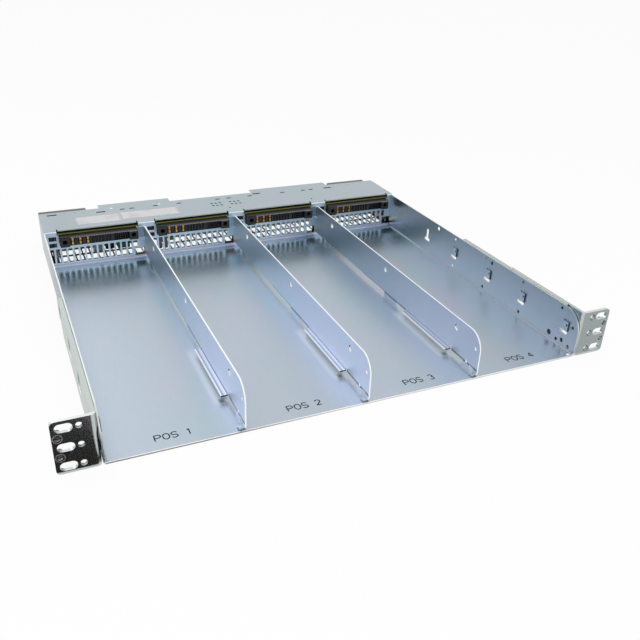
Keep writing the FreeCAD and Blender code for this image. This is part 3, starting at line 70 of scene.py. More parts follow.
class Facing(Enum):
    """The way a flat mark or a turned piece looks, as its outward axis."""

    UP = "up"
    FRONT = "front"
    REAR = "rear"
    LEFT = "left"
    RIGHT = "right"

    def matrix(self) -> np.ndarray:
        """The piece's own axes in the part's frame.

        Returns:
            A matrix with the piece's across, up-the-sheet and outward axes as its columns.
        """
        across, along, out = {
            Facing.UP: ((1, 0, 0), (0, 1, 0), (0, 0, 1)),
            Facing.FRONT: ((1, 0, 0), (0, 0, 1), (0, -1, 0)),
            Facing.REAR: ((-1, 0, 0), (0, 0, 1), (0, 1, 0)),
            Facing.LEFT: ((0, -1, 0), (0, 0, 1), (-1, 0, 0)),
            Facing.RIGHT: ((0, 1, 0), (0, 0, 1), (1, 0, 0)),
        }[self]
        return np.array([across, along, out], float).T


# Meshes worked out as whole arrays
@dataclass
class Shell:
    """Points in millimetres, and groups of faces with as many corners in each."""

    points: np.ndarray
    faces: tuple[np.ndarray, ...]

    def turned(self, facing: Facing, centre: Sequence[float]) -> "Shell":
        """The same shell looking another way at another place.

        Args:
            facing: The way its third axis looks.
            centre: Where its own origin goes, in millimetres.

        Returns:
            The turned shell.
        """
        return Shell(self.points @ facing.matrix().T + np.asarray(centre, float), self.faces)


def merged(shells: Sequence[Shell]) -> Shell:
    """Several shells as one, with the numbers in their faces moved on.

    Args:
        shells: The shells, whose order is kept.

    Returns:
        One shell.
    """
    starts = np.cumsum([0] + [len(shell.points) for shell in shells])
    faces = tuple(group + start for shell, start in zip(shells, starts) for group in shell.faces)
    return Shell(np.concatenate([shell.points for shell in shells]), faces)


def grid_faces(rows: int, columns: int, closed: bool) -> np.ndarray:
    """Quads between neighbouring rows and columns of a grid of points.

    Args:
        rows: Number of rows of points.
        columns: Number of points in a row.
        closed: Whether the last column joins the first.

    Returns:
        An array of four point numbers for each face.
    """
    i, j = np.meshgrid(np.arange(rows - 1), np.arange(columns - (0 if closed else 1)), indexing="ij")
    k = (j + 1) % columns
    quads = np.stack((i * columns + j, i * columns + k, (i + 1) * columns + k, (i + 1) * columns + j), -1)
    return quads.reshape(-1, 4)


def turned_profile(profile: Sequence[Span], steps: int = 28) -> Shell:
    """A profile carried round the outward axis.

    A point at radius r and height h becomes (r cos a, r sin a, h) for each angle a. A last radius
    of TIP brings the shell to a point.

    Args:
        profile: Pairs of radius and height, from the outer foot to the middle of the top.
        steps: Points round the axis.

    Returns:
        The shell.
    """
    pairs = np.asarray(profile, float)
    angle = np.linspace(0, 2 * np.pi, steps, endpoint=False)
    radius = pairs[:, :1]
    height = np.broadcast_to(pairs[:, 1:], (len(pairs), steps))
    points = np.stack((radius * np.cos(angle), radius * np.sin(angle), height), -1)
    return Shell(points.reshape(-1, 3), (grid_faces(len(pairs), steps, True),))


def rounded_slab(
    size: Span, corner: float, height: float, crown: float = 0.0, closed: bool = False
) -> Shell:
    """A thin plate with round corners, its top a little crowned.

    The outline at angle a is the rounded rectangle's edge, and ring s of the top is that outline
    times s, at height plus crown times (1 - s squared). The last ring drops to the plate's foot.

    Args:
        size: Width and length in millimetres.
        corner: Radius of the corners.
        height: Thickness of the plate.
        crown: Extra height at the middle.
        closed: Whether the plate has an underside too.

    Returns:
        The shell.
    """
    corner_steps, rings, first_ring = 6, 6, 0.02
    quarter = np.linspace(0, np.pi / 2, corner_steps)
    angles = np.concatenate([quarter + turn * np.pi / 2 for turn in range(4)])
    signs = np.repeat(np.array([(1, 1), (-1, 1), (-1, -1), (1, -1)], float), corner_steps, axis=0)
    half = np.asarray(size, float) / 2 - corner
    outline = signs * half + corner * np.stack((np.cos(angles), np.sin(angles)), -1)
    share = np.concatenate((np.linspace(first_ring, 1, rings), [1.0]))
    top = height + crown * (1 - share**2)
    top[-1] = 0.0
    level = np.broadcast_to(top[:, None, None], (len(share), len(outline), 1))
    points = np.concatenate((share[:, None, None] * outline[None], level), -1).reshape(-1, 3)
    numbers = np.arange(len(points))
    faces = [grid_faces(len(share), len(outline), True)[:, ::-1], numbers[None, :len(outline)]]
    if closed:
        faces.append(numbers[None, -len(outline):][:, ::-1])
    return Shell(points, tuple(faces))


def ribbon(line: np.ndarray, width: float, height: float = 0.0) -> Shell:
    """A flat stroke along a line: each point's two neighbours stand half the width to its sides.

    Args:
        line: Points of the stroke's middle, two numbers each.
        width: Width of the stroke.
        height: Height above the surface.

    Returns:
        The shell.
    """
    run = np.gradient(line, axis=0)
    side = np.stack((-run[:, 1], run[:, 0]), -1)
    side /= np.linalg.norm(side, axis=1, keepdims=True)
    ends = np.stack((line + side * width / 2, line - side * width / 2), 1)
    points = np.concatenate((ends, np.full((*ends.shape[:2], 1), height)), -1)
    return Shell(points.reshape(-1, 3), (grid_faces(len(line), 2, False)[:, ::-1],))


def straight(start: Span, end: Span, steps: int = 9) -> np.ndarray:
    """Points of a straight line: start plus share times (end minus start).

    Args:
        start: Its first point.
        end: Its last point.
        steps: Number of points.

    Returns:
        The points, two numbers each.
    """
    first, last = np.asarray(start, float), np.asarray(end, float)
    return first + (last - first) * np.linspace(0, 1, steps)[:, None]


def arc(centre: Span, radii: Span, start: float, end: float, steps: int = 14) -> np.ndarray:
    """Points of an ellipse's arc: centre plus radii times (cos a, sin a).

    Args:
        centre: The ellipse's middle.
        radii: Its two radii.
        start: First angle a in degrees.
        end: Last angle a in degrees.
        steps: Number of points.

    Returns:
        The points, two numbers each.
    """
    angle = np.radians(np.linspace(start, end, steps))
    return np.asarray(centre) + np.asarray(radii) * np.stack((np.cos(angle), np.sin(angle)), -1)


def make_piece(
    name: str, shell: Shell, material: bpy.types.Material, smooth: bool = True
) -> None:
    """Adds a finished piece with its place in its mesh, riding on the part's body.

    Args:
        name: The piece's name.
        shell: Its points and faces in millimetres.
        material: Its finish.
        smooth: Whether its faces are shaded smooth.
    """
    mesh = bpy.data.meshes.new(name)
    faces = [face for group in shell.faces for face in group.tolist()]
    mesh.from_pydata((shell.points * MM).tolist(), [], faces)
    mesh.polygons.foreach_set("use_smooth", [smooth] * len(mesh.polygons))
    mesh.validate()
    mesh.update()
    mesh.materials.append(material)
    piece = bpy.data.objects.new(name, mesh)
    bpy.context.scene.collection.objects.link(piece)
    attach(piece, ROOT)
    LOG.info("piece %s: %d faces", name, len(mesh.polygons))


# Shader maths
class Amount:
    """A socket with one number, on which Python's operators add Math nodes."""

    def __init__(self, wiring: "Wiring", socket: bpy.types.NodeSocket) -> None:
        """Wraps a socket of a node tree."""
        self.wiring = wiring
        self.socket = socket

    def _with(self, operation: str, *values: "Amount | float") -> "Amount":
        """A Math node on this amount and others."""
        return self.wiring.maths(operation, self, *values)

    def __add__(self, other: "Amount | float") -> "Amount":
        """Sum."""
        return self._with("ADD", other)

    __radd__ = __add__

    def __sub__(self, other: "Amount | float") -> "Amount":
        """Difference."""
        return self._with("SUBTRACT", other)

    def __rsub__(self, other: float) -> "Amount":
        """Difference from a number."""
        return self.wiring.maths("SUBTRACT", other, self)

    def __mul__(self, other: "Amount | float") -> "Amount":
        """Product."""
        return self._with("MULTIPLY", other)

    __rmul__ = __mul__

    def __truediv__(self, other: "Amount | float") -> "Amount":
        """Quotient."""
        return self._with("DIVIDE", other)

    def __rtruediv__(self, other: float) -> "Amount":
        """A number over this amount."""
        return self.wiring.maths("DIVIDE", other, self)

    def __abs__(self) -> "Amount":
        """Size without its sign."""
        return self._with("ABSOLUTE")

    def over(self, edge: float) -> "Amount":
        """One where this amount is over the edge, else nought."""
        return self._with("GREATER_THAN", edge)

    def under(self, edge: float) -> "Amount":
        """One where this amount is under the edge, else nought."""
        return self._with("LESS_THAN", edge)

    def between(self, low: float, high: float) -> "Amount":
        """One between two edges, else nought."""
        return self.over(low) * self.under(high)

    def ramp(self, start: float, end: float, low: float = 0.0, high: float = 1.0) -> "Amount":
        """A smooth step.

        Args:
            start: Amount at which the step begins.
            end: Amount at which it ends.
            low: Value up to the start.
            high: Value from the end on.

        Returns:
            The stepped value.
        """
        node = self.wiring.node(
            "ShaderNodeMapRange",
            {"interpolation_type": "SMOOTHSTEP"},
            {"Value": self, "From Min": start, "From Max": end, "To Min": low, "To Max": high},
        )
        return Amount(self.wiring, node.outputs["Result"])

    def wrapped(self) -> "Amount":
        """The part after the point."""
        return self._with("FRACT")

    def root(self) -> "Amount":
        """Square root."""
        return self._with("SQRT")

    def most(self, other: "Amount | float") -> "Amount":
        """The larger of two."""
        return self._with("MAXIMUM", other)

    def least(self, other: "Amount | float") -> "Amount":
        """The smaller of two."""
        return self._with("MINIMUM", other)


class Wiring:
    """A material's or a world's node tree, which is filled through one method."""

    def __init__(self, owner: bpy.types.Material | bpy.types.World) -> None:
        """Empties the node tree of its owner.

        Args:
            owner: The material or the world.
        """
        owner.use_nodes = True
        self.tree = owner.node_tree
        self.tree.nodes.clear()

    def feed(self, socket: bpy.types.NodeSocket, value: object) -> None:
        """Gives an input its link, colour or number.

        Args:
            socket: The input.
            value: An Amount, another node's socket, a colour or a number.
        """
        if isinstance(value, Amount):
            value = value.socket
        if isinstance(value, bpy.types.NodeSocket):
            self.tree.links.new(value, socket)
        elif isinstance(value, tuple) and socket.type == "RGBA":
            socket.default_value = (*value, 1.0)
        else:
            socket.default_value = value

    def node(
        self, kind: str, settings: dict[str, object], values: dict[str | int, object]
    ) -> bpy.types.Node:
        """Adds any node, with its settings first and then the values or links of its sockets.

        Args:
            kind: The node's type.
            settings: Its own settings.
            values: Its inputs by name or number: a number, a colour, a socket or an Amount.

        Returns:
            The node.
        """
        made = self.tree.nodes.new(kind)
        for key, setting in settings.items():
            setattr(made, key, setting)
        for key, value in values.items():
            self.feed(made.inputs[key], value)
        return made

    def maths(self, operation: str, *values: Amount | float) -> Amount:
        """A Math node on numbers or amounts."""
        made = self.node("ShaderNodeMath", {"operation": operation}, dict(enumerate(values)))
        return Amount(self, made.outputs[0])

    def backdrop_share(self) -> Amount:
        """One for rays that show the backdrop: the camera's, and those off or through a surface.

        Returns:
            The share.
        """
        path = self.node("ShaderNodeLightPath", {}, {})
        seen, glossy, through = (
            Amount(self, path.outputs[f"Is {kind} Ray"]) for kind in ("Camera", "Glossy", "Transmission")
        )
        return seen.most(glossy).most(through)


class Recipe(Wiring):
    """One material's node tree, with its Principled shader ready."""

    def __init__(self, name: str) -> None:
        """Starts an empty material.

        Args:
            name: The material's name.
        """
        self.material = bpy.data.materials.new(name)
        super().__init__(self.material)
        self.shader = self.node("ShaderNodeBsdfPrincipled", {}, {})
        self.output = self.node("ShaderNodeOutputMaterial", {}, {"Surface": self.shader.outputs[0]})
        self.coords = self.node("ShaderNodeTexCoord", {}, {})
        self.where = self.coords.outputs["Object"]

    def split(self, source: str, letter: str) -> Amount:
        """One part of the place or of the surface's outward direction."""
        node = self.node("ShaderNodeSeparateXYZ", {}, {0: self.coords.outputs[source]})
        return Amount(self, node.outputs[letter])

    def axis(self, letter: str) -> Amount:
        """One coordinate of the place, in millimetres."""
        return self.split("Object", letter) * (1 / MM)

    def axes(self) -> tuple[Amount, Amount, Amount]:
        """The place across, along and up, in millimetres."""
        return self.axis("X"), self.axis("Y"), self.axis("Z")

    def slope(self, letter: str) -> Amount:
        """How far the surface looks along an axis, from -1 to 1."""
        return self.split("Normal", letter)

    def noise(self, scale: float, detail: float = 3.0, stretch: Triple = (1.0, 1.0, 1.0)) -> Amount:
        """Soft noise from 0 to 1 on the piece's own coordinates.

        Args:
            scale: Waves per metre.
            detail: Octaves of finer noise.
            stretch: Factor on the waves along each axis.

        Returns:
            The noise.
        """
        drawn = self.node("ShaderNodeMapping", {}, {"Vector": self.where, "Scale": stretch})
        values = {"Vector": drawn.outputs[0], "Scale": scale, "Detail": detail}
        return Amount(self, self.node("ShaderNodeTexNoise", {}, values).outputs[0])

    def shaded(self, colour: Paint, amount: Amount) -> bpy.types.NodeSocket:
        """A colour times an amount.

        Args:
            colour: The colour.
            amount: Its factor.

        Returns:
            The product's socket.
        """
        grey = self.node("ShaderNodeCombineColor", {}, {0: amount, 1: amount, 2: amount})
        settings = {"data_type": "RGBA", "blend_type": "MULTIPLY"}
        node = self.node("ShaderNodeMix", settings, {0: 1.0, 6: colour, 7: grey.outputs[0]})
        return node.outputs[2]

    def mixed(self, share: Amount | float, first: Paint, second: Paint) -> bpy.types.NodeSocket:
        """A colour between two, nearer the second as the share grows."""
        node = self.node("ShaderNodeMix", {"data_type": "RGBA"}, {0: share, 6: first, 7: second})
        return node.outputs[2]

    def bump(self, height: Amount, distance: float, strength: float = 0.5) -> bpy.types.NodeSocket:
        """A normal tilted by a height field, its depth in millimetres."""
        values = {"Height": height, "Distance": distance * MM, "Strength": strength}
        return self.node("ShaderNodeBump", {}, values).outputs[0]

    def finish(self, **sockets: object) -> bpy.types.Material:
        """Sets the shader's sockets, with words joined by underscores for their names.

        Args:
            **sockets: Values, sockets or amounts.

        Returns:
            The material.
        """
        for key, value in sockets.items():
            self.feed(self.shader.inputs[key.replace("_", " ")], value)
        return self.material


# Finishes
@dataclass(frozen=True)
class Rim:
    """Where a sheet's cut edges lie: the axis across the sheet, and the middle and half of its gauge."""

    letter: str
    middles: tuple[float, ...]
    half: float = 0.7
    facing: float = 0.3

    def mask(self, recipe: Recipe) -> Amount:
        """Finds the cut edges.

        Args:
            recipe: The material.

        Returns:
            One on faces that run across the sheet within its gauge, else nought.
        """
        spot = recipe.axis(self.letter)
        near = abs(spot - self.middles[0]).under(self.half)
        for middle in self.middles[1:]:
            near = near.most(abs(spot - middle).under(self.half))
        return abs(recipe.slope(self.letter)).under(self.facing) * near


@dataclass(frozen=True)
class ZincSheet:
    """Steel sheet with a clear blue zinc plate: mill grain, cloudy lilac and cyan film, cut edges pale as
    bare steel and partly as painted highlight.

    Subclasses add what one sheet has and the others don't: touches for its colour and roughness,
    bare for how metallic it is, and edges for where the cut edges are pale.
    """

    name: str = "zinc_sheet"
    base: Colour = (0.47, 0.535, 0.595)
    lilac: Colour = (0.53, 0.52, 0.66)
    cyan: Colour = (0.42, 0.56, 0.60)
    edge: Colour = (0.76, 0.78, 0.74)
    roughness: float = 0.36
    film: float = 0.45
    film_least: float = 0.08
    grain: Triple = (1.0, 0.02, 1.0)
    relief: float = 0.004
    rims: tuple[Rim, ...] = ()
    cloud_waves: float = 9.0
    patch_waves: float = 21.0
    patch_stretch: Triple = (1.0, 0.6, 1.6)
    grain_waves: float = 2600.0
    speck_waves: float = 900.0
    patch_steps: Span = (0.35, 0.68)
    cloud_steps: Span = (0.38, 0.66)
    grain_tones: Span = (0.975, 1.02)
    grain_rough: float = 0.06
    speck_rough: Span = (-0.03, 0.04)
    edge_rough: float = 0.08

    def touches(self, recipe: Recipe, colour: Paint, rough: Amount) -> tuple[Paint, Amount]:
        """Colour and roughness with what only this sheet has."""
        return colour, rough

    def bare(self, recipe: Recipe) -> Amount | float:
        """How metallic the surface is, from nought to one."""
        return 1.0

    def edges(self, recipe: Recipe, mask: Amount) -> Amount:
        """The part of the cut edges that is pale."""
        return mask

    def make(self) -> bpy.types.Material:
        """Mixes the finish from its film, its grain, its own touches and its cut edges.

        Returns:
            The material.
        """
        recipe = Recipe(self.name)
        clouds = recipe.noise(self.cloud_waves, 2.0)
        patches = recipe.noise(self.patch_waves, 3.0, self.patch_stretch)
        rolled = recipe.noise(self.grain_waves, 2.0, self.grain)
        specks = recipe.noise(self.speck_waves, 2.0)
        tint = recipe.mixed(patches.ramp(*self.patch_steps), self.lilac, self.cyan)
        body = recipe.mixed(clouds.ramp(*self.cloud_steps) * self.film + self.film_least, self.base, tint)
        colour: Paint = recipe.shaded(body, rolled.ramp(0.3, 0.75, *self.grain_tones))
        smooth, dull = (self.roughness + change for change in self.speck_rough)
        rough = specks.ramp(0.3, 0.7, smooth, dull) + (rolled - 0.5) * self.grain_rough
        colour, rough = self.touches(recipe, colour, rough)
        # Cut edges: pale as bare steel, and partly a painted highlight along them.
        for rim in self.rims:
            mask = self.edges(recipe, rim.mask(recipe))
            colour = recipe.mixed(mask, colour, self.edge)
            rough = rough + mask * self.edge_rough
        normal = recipe.bump(rolled * 0.6 + specks * 0.4, self.relief)
        return recipe.finish(Base_Color=colour, Roughness=rough, Metallic=self.bare(recipe), Normal=normal)


@dataclass(frozen=True)
class PanZinc(ZincSheet):
    """The pan's finish: walls painted lighter and bluer as lit and in painted shade outside, a front edge
    darker towards the left with a painted highlight on top, teal and smooth by the bulkhead.

    Places are in millimetres: across from the middle, along from the part's origin. The painted
    light and shadows beside the guide lips are measured to the left of each divider.
    """

    wall: Colour = (0.62, 0.71, 0.79)
    outside: Colour = (0.27, 0.30, 0.32)
    front_edge_dark: Colour = (0.30, 0.26, 0.23)
    sheared: Colour = (0.72, 0.69, 0.64)
    rim_highlight: Colour = (0.93, 0.96, 0.98)
    teal: Colour = (0.60, 0.77, 0.85)
    teal_along: Span = (20.0, 120.0)
    right_shade: Span = (40.0, 190.0)
    front_edge_dark_across: Span = (-130.0, -10.0)
    lip_along: Span = (-179.0, -97.0)
    lip_shade_lift_span: Span = (15.0, 10.0)
    lip_shade_lift_dull: float = 0.72
    lip_shade_lift_gain: float = 0.17
    # Offsets of the painted shadows under the lips' front ends, to the left of each divider.
    mark: tuple[float, float, float, float] = (9.5, 6.5, 5.0, 2.5)
    lip_end_shadow_dark: float = 0.65
    bend: float = 1.6
    bend_dull: float = 0.7
    bend_dark: float = 0.13
    rear_dark: float = 0.65
    left_rear_dark: float = 0.27
    right_dark: float = 0.15
    teal_share: float = 0.75
    wall_share: float = 0.8
    outside_share: float = 0.85
    bend_rough: float = 0.25
    rim_highlight_rough: float = 0.2
    teal_smooth: float = 0.11

    def beside_lips(self, across: Amount, along: Amount) -> tuple[Amount, Amount]:
        """Finds where the floor beside the guide lips takes painted light and painted shadows.

        Args:
            across: The place across.
            along: The place along.

        Returns:
            The bands of painted light that lift the shade beside the lips, and the painted shadows under
            their front ends.
        """
        start, end = self.lip_along
        far, near = self.lip_shade_lift_span
        reach = along.ramp(start - 6.0, start + 4.0) * (1 - along.ramp(end - 4.0, end + 14.0))
        lip_shade_lift = sum((across.ramp(m - far, m - near) * across.under(m - 1.0) for m in DIVIDERS), 0.0)
        out, full, less, none = self.mark
        marks = sum(
            (across.ramp(m - out, m - full) * (1 - across.ramp(m - less, m - none)) for m in DIVIDERS), 0.0
        ) * along.ramp(start - 2.0, start + 1.5) * (1 - along.ramp(start + 2.5, start + 7.0))
        return lip_shade_lift * reach, marks

    def bends(self, recipe: Recipe) -> Amount:
        """The bends between the floor and the side walls."""
        inner = abs(recipe.axis("X")).between(INNER_HALF - self.bend, INNER_HALF + 0.2)
        return inner * recipe.axis("Z").between(FLOOR_TOP - 0.1, FLOOR_TOP + self.bend)

    def bare(self, recipe: Recipe) -> Amount | float:
        """Finds where the pan is made less metallic: beside the guide lips, to lighten their shade, and
        along the bends, to dim their highlight.

        Args:
            recipe: The material.

        Returns:
            How metallic the surface is, from nought to one.
        """
        lip_shade_lift, _ = self.beside_lips(recipe.axis("X"), recipe.axis("Y"))
        # Lower metal share beside the lips, so that the sky lights their shade.
        worn = lip_shade_lift * recipe.slope("Z").over(0.8) * self.lip_shade_lift_dull
        return 1 - worn - self.bends(recipe) * self.bend_dull

    def touches(self, recipe: Recipe, colour: Paint, rough: Amount) -> tuple[Paint, Amount]:
        """Adds the walls' painted light and shade, painted shade along the bends, behind the bulkhead and
        towards the right, the painted light and shadows by the lips, the front edge and the change towards
        the bulkhead.

        Args:
            recipe: The material.
            colour: Its colour so far.
            rough: Its roughness so far.

        Returns:
            The new colour and roughness.
        """
        across, along, up = recipe.axes()
        upright = abs(recipe.slope("X")).over(0.7)
        nearer = along.ramp(*self.teal_along)
        colour = recipe.mixed(nearer * (1 - upright) * self.teal_share, colour, self.teal)
        # Painted light: the upright walls are lighter and bluer than the floor of the same sheet.
        colour = recipe.mixed(upright * self.wall_share, colour, self.wall)
        # Painted shade: the walls' outer faces are darker.
        outer = upright * abs(across).over(INNER_HALF + 0.6)
        colour = recipe.mixed(outer * self.outside_share, colour, self.outside)
        lip_shade_lift, marks = self.beside_lips(across, along)
        bends = self.bends(recipe)
        # Painted shade on the floor and walls behind the bulkhead, deepest in the left bay.
        behind = along.over(BULKHEAD_FACE + SHEET) * (1 - outer)
        dark = behind * (self.rear_dark + across.under(DIVIDERS[0]) * self.left_rear_dark)
        level = (1 - upright) * up.over(FLOOR_TOP - 0.2)
        # Painted shade on the floor and walls towards the right.
        right = across.ramp(*self.right_shade) * self.right_dark
        # Painted shade along the bends between floor and walls, dimming their highlight.
        gain = (1 - bends * self.bend_dark) * (1 - dark) * (1 - right)
        # Painted light lifts the shade beside the lips, and painted shadows lie under the lips' front ends.
        gain = gain * (1 + lip_shade_lift * level * self.lip_shade_lift_gain) * (1 - marks * level * self.lip_end_shadow_dark)
        colour = recipe.shaded(colour, gain)
        front = (0 - recipe.slope("Y")).over(0.5) * along.under(FRONT_EDGE + 0.3)
        # Painted highlight: a near-white line on the top along the front edge, made a little rougher.
        brink = recipe.slope("Z").over(0.5) * along.under(FRONT_EDGE + 0.8)
        # The front edge's own face, darker and browner towards the left.
        edge = recipe.mixed(across.ramp(*self.front_edge_dark_across), self.front_edge_dark, self.sheared)
        colour = recipe.mixed(brink, colour, self.rim_highlight)
        colour = recipe.mixed(front * up.under(FLOOR_TOP), colour, edge)
        rough = rough + bends * self.bend_rough + brink * self.rim_highlight_rough - nearer * self.teal_smooth
        return colour, rough


@dataclass(frozen=True)
class DividerZinc(ZincSheet):
    """A divider's finish: a lilac film that turns teal to the rear, painted lighter at the front and shaded
    for each divider, and a guide lip with painted highlight and shade.

    The lip's painted highlight, the band of painted shade beside it and the painted shade at its fold are
    measured to the left of the sheet.
    """

    front: Colour = (0.78, 0.82, 0.97)
    rear: Colour = (0.46, 0.60, 0.70)
    lip_highlight: Colour = (0.98, 0.98, 0.98)
    lip_fold_shade: Colour = (0.14, 0.16, 0.20)
    lip_shade_band: Colour = (0.34, 0.37, 0.44)
    cut: Colour = (0.03, 0.035, 0.045)
    tab: Colour = (0.42, 0.54, 0.60)
    shade_front_rear: Span = (1.0, 1.0)
    middle: float = 0.0
    film_share: float = 0.62
    film_along: Span = (-200.0, 60.0)
    drift_waves: float = 14.0
    drift: float = 70.0
    lip_up: Span = (5.0, 6.9)
    lip_edge: float = 6.6
    lip_highlight_half: float = 1.0
    lip_band: float = 0.9
    lip_fold_shade_half: float = 0.45
    lip_end_along: Span = (-182.0, -170.0)
    lip_end_up: Span = (3.8, 7.2)
    tab_top: float = 3.9
    tab_along: float = FRONT_EDGE + 12.0
    lip_shade_band_share: float = 0.8
    lip_fold_shade_share: float = 0.9
    tab_share: float = 0.7
    lip_highlight_rough: float = 0.22
    first_hole_along: Span = (-200.0, -150.0)
    first_hole_up: Span = (30.2, 34.0)

    def first_hole(self, recipe: Recipe) -> Amount:
        """The upper half of the round hole at the front."""
        along = recipe.axis("Y").between(*self.first_hole_along)
        return recipe.axis("Z").between(*self.first_hole_up) * along

    def edges(self, recipe: Recipe, mask: Amount) -> Amount:
        """Leaves the upper half of the front hole's edge unlit."""
        return mask * (1 - self.first_hole(recipe))

    def touches(self, recipe: Recipe, colour: Paint, rough: Amount) -> tuple[Paint, Amount]:
        """Adds the film's slow change along the sheet with its painted light and shade, the lip's painted
        highlight and shade, and painted shade on the lip's front end and in the front hole.

        Args:
            recipe: The material.
            colour: Its colour so far.
            rough: Its roughness so far.

        Returns:
            The new colour and roughness.
        """
        across, along, up = recipe.axes()
        drift = recipe.noise(self.drift_waves, 2.0) * self.drift - self.drift / 2
        back = (along + drift).ramp(*self.film_along)
        # The film turns teal to the rear, and its front is painted lighter as lit.
        colour = recipe.mixed(self.film_share, colour, recipe.mixed(back, self.front, self.rear))
        # Painted shade set for each divider, from its front to its rear.
        colour = recipe.shaded(colour, back * (self.shade_front_rear[1] - self.shade_front_rear[0]) + self.shade_front_rear[0])
        hole = abs(recipe.slope("X")).under(0.3) * self.first_hole(recipe)
        level = up.between(*self.lip_up) * along.under(0.0)
        brink = self.middle - self.lip_edge
        edge = level * abs(across - brink).under(self.lip_highlight_half)
        lip_shade_band = level * abs(across - (brink + self.lip_highlight_half + self.lip_band)).under(self.lip_band)
        lip_fold_shade = level * abs(across - (self.middle - self.lip_band)).under(self.lip_fold_shade_half)
        end = (0 - recipe.slope("Y")).over(0.5) * up.between(*self.lip_end_up)
        end = end * along.between(*self.lip_end_along)
        foot = up.under(self.tab_top) * along.under(self.tab_along)
        # Painted highlight along the lip's outer edge, a band of painted shade beside it and painted shade
        # along its fold.
        colour = recipe.mixed(edge, colour, self.lip_highlight)
        colour = recipe.mixed(lip_shade_band * self.lip_shade_band_share, colour, self.lip_shade_band)
        colour = recipe.mixed(lip_fold_shade * self.lip_fold_shade_share, colour, self.lip_fold_shade)
        colour = recipe.mixed(foot * self.tab_share, colour, self.tab)
        # Painted shade: the lip's front end face and the upper half of the front hole's wall are near black.
        colour = recipe.mixed((end + hole).ramp(0.4, 0.6), colour, self.cut)
        return colour, rough + edge * self.lip_highlight_rough


@dataclass(frozen=True)
class CoverZinc(ZincSheet):
    """The cover's finish: greener on top, the bulkhead and its fold painted lighter and bluer as lit,
    painted shade to the left and in the slots, and teal and smooth along its foot.
    """

    bulkhead: Colour = (0.78, 0.89, 1.0)
    fold: Colour = (0.62, 0.62, 0.75)
    foot: Colour = (0.42, 0.50, 0.60)
    fold_top: float = 5.6
    foot_top: float = 2.6
    left_shade: Span = (140.0, 200.0)
    slots_along: Span = (134.0, 186.0)
    slots_half: float = 207.0
    slot_dark: float = 0.9
    left_dark: float = 0.14
    bulkhead_share: float = 0.8
    fold_share: float = 0.75
    foot_smooth: float = 0.12

    def slot_field(self, recipe: Recipe) -> Amount:
        """The part of the top that has the slots and holes."""
        return recipe.axis("Y").between(*self.slots_along) * abs(recipe.axis("X")).under(self.slots_half)

    def edges(self, recipe: Recipe, mask: Amount) -> Amount:
        """Leaves the slots' and holes' edges in the cover's top unlit."""
        return mask * (1 - self.slot_field(recipe))

    def touches(self, recipe: Recipe, colour: Paint, rough: Amount) -> tuple[Paint, Amount]:
        """Adds the bulkhead's and its fold's painted light, the foot's colour, painted shade towards the
        left and painted shade on the slots' walls.

        Args:
            recipe: The material.
            colour: Its colour so far.
            rough: Its roughness so far.

        Returns:
            The new colour and roughness.
        """
        across, along, up = recipe.axes()
        screen = along.under(BULKHEAD_FACE + 3.0) * up.under(COVER_TOP - 0.6)
        fold = along.under(BULKHEAD_FACE + 0.2) * up.under(self.fold_top)
        foot = along.under(BULKHEAD_FACE - 2.0) * up.under(self.foot_top)
        left = (0 - across).ramp(*self.left_shade) * self.left_dark
        # Painted shade on the top towards the left.
        colour = recipe.shaded(colour, 1 - left * (1 - screen))
        # Painted light: the bulkhead and its fold, one sheet with the top, lighter and bluer.
        colour = recipe.mixed(screen * self.bulkhead_share, colour, self.bulkhead)
        colour = recipe.mixed(fold * self.fold_share, colour, self.fold)
        colour = recipe.mixed(foot, colour, self.foot)
        slots = abs(recipe.slope("Z")).under(0.3) * up.over(COVER_TOP - 1.4) * self.slot_field(recipe)
        # Painted shade on the walls of the slots and holes in the top.
        colour = recipe.shaded(colour, 1 - slots * self.slot_dark)
        return colour, rough - foot * self.foot_smooth


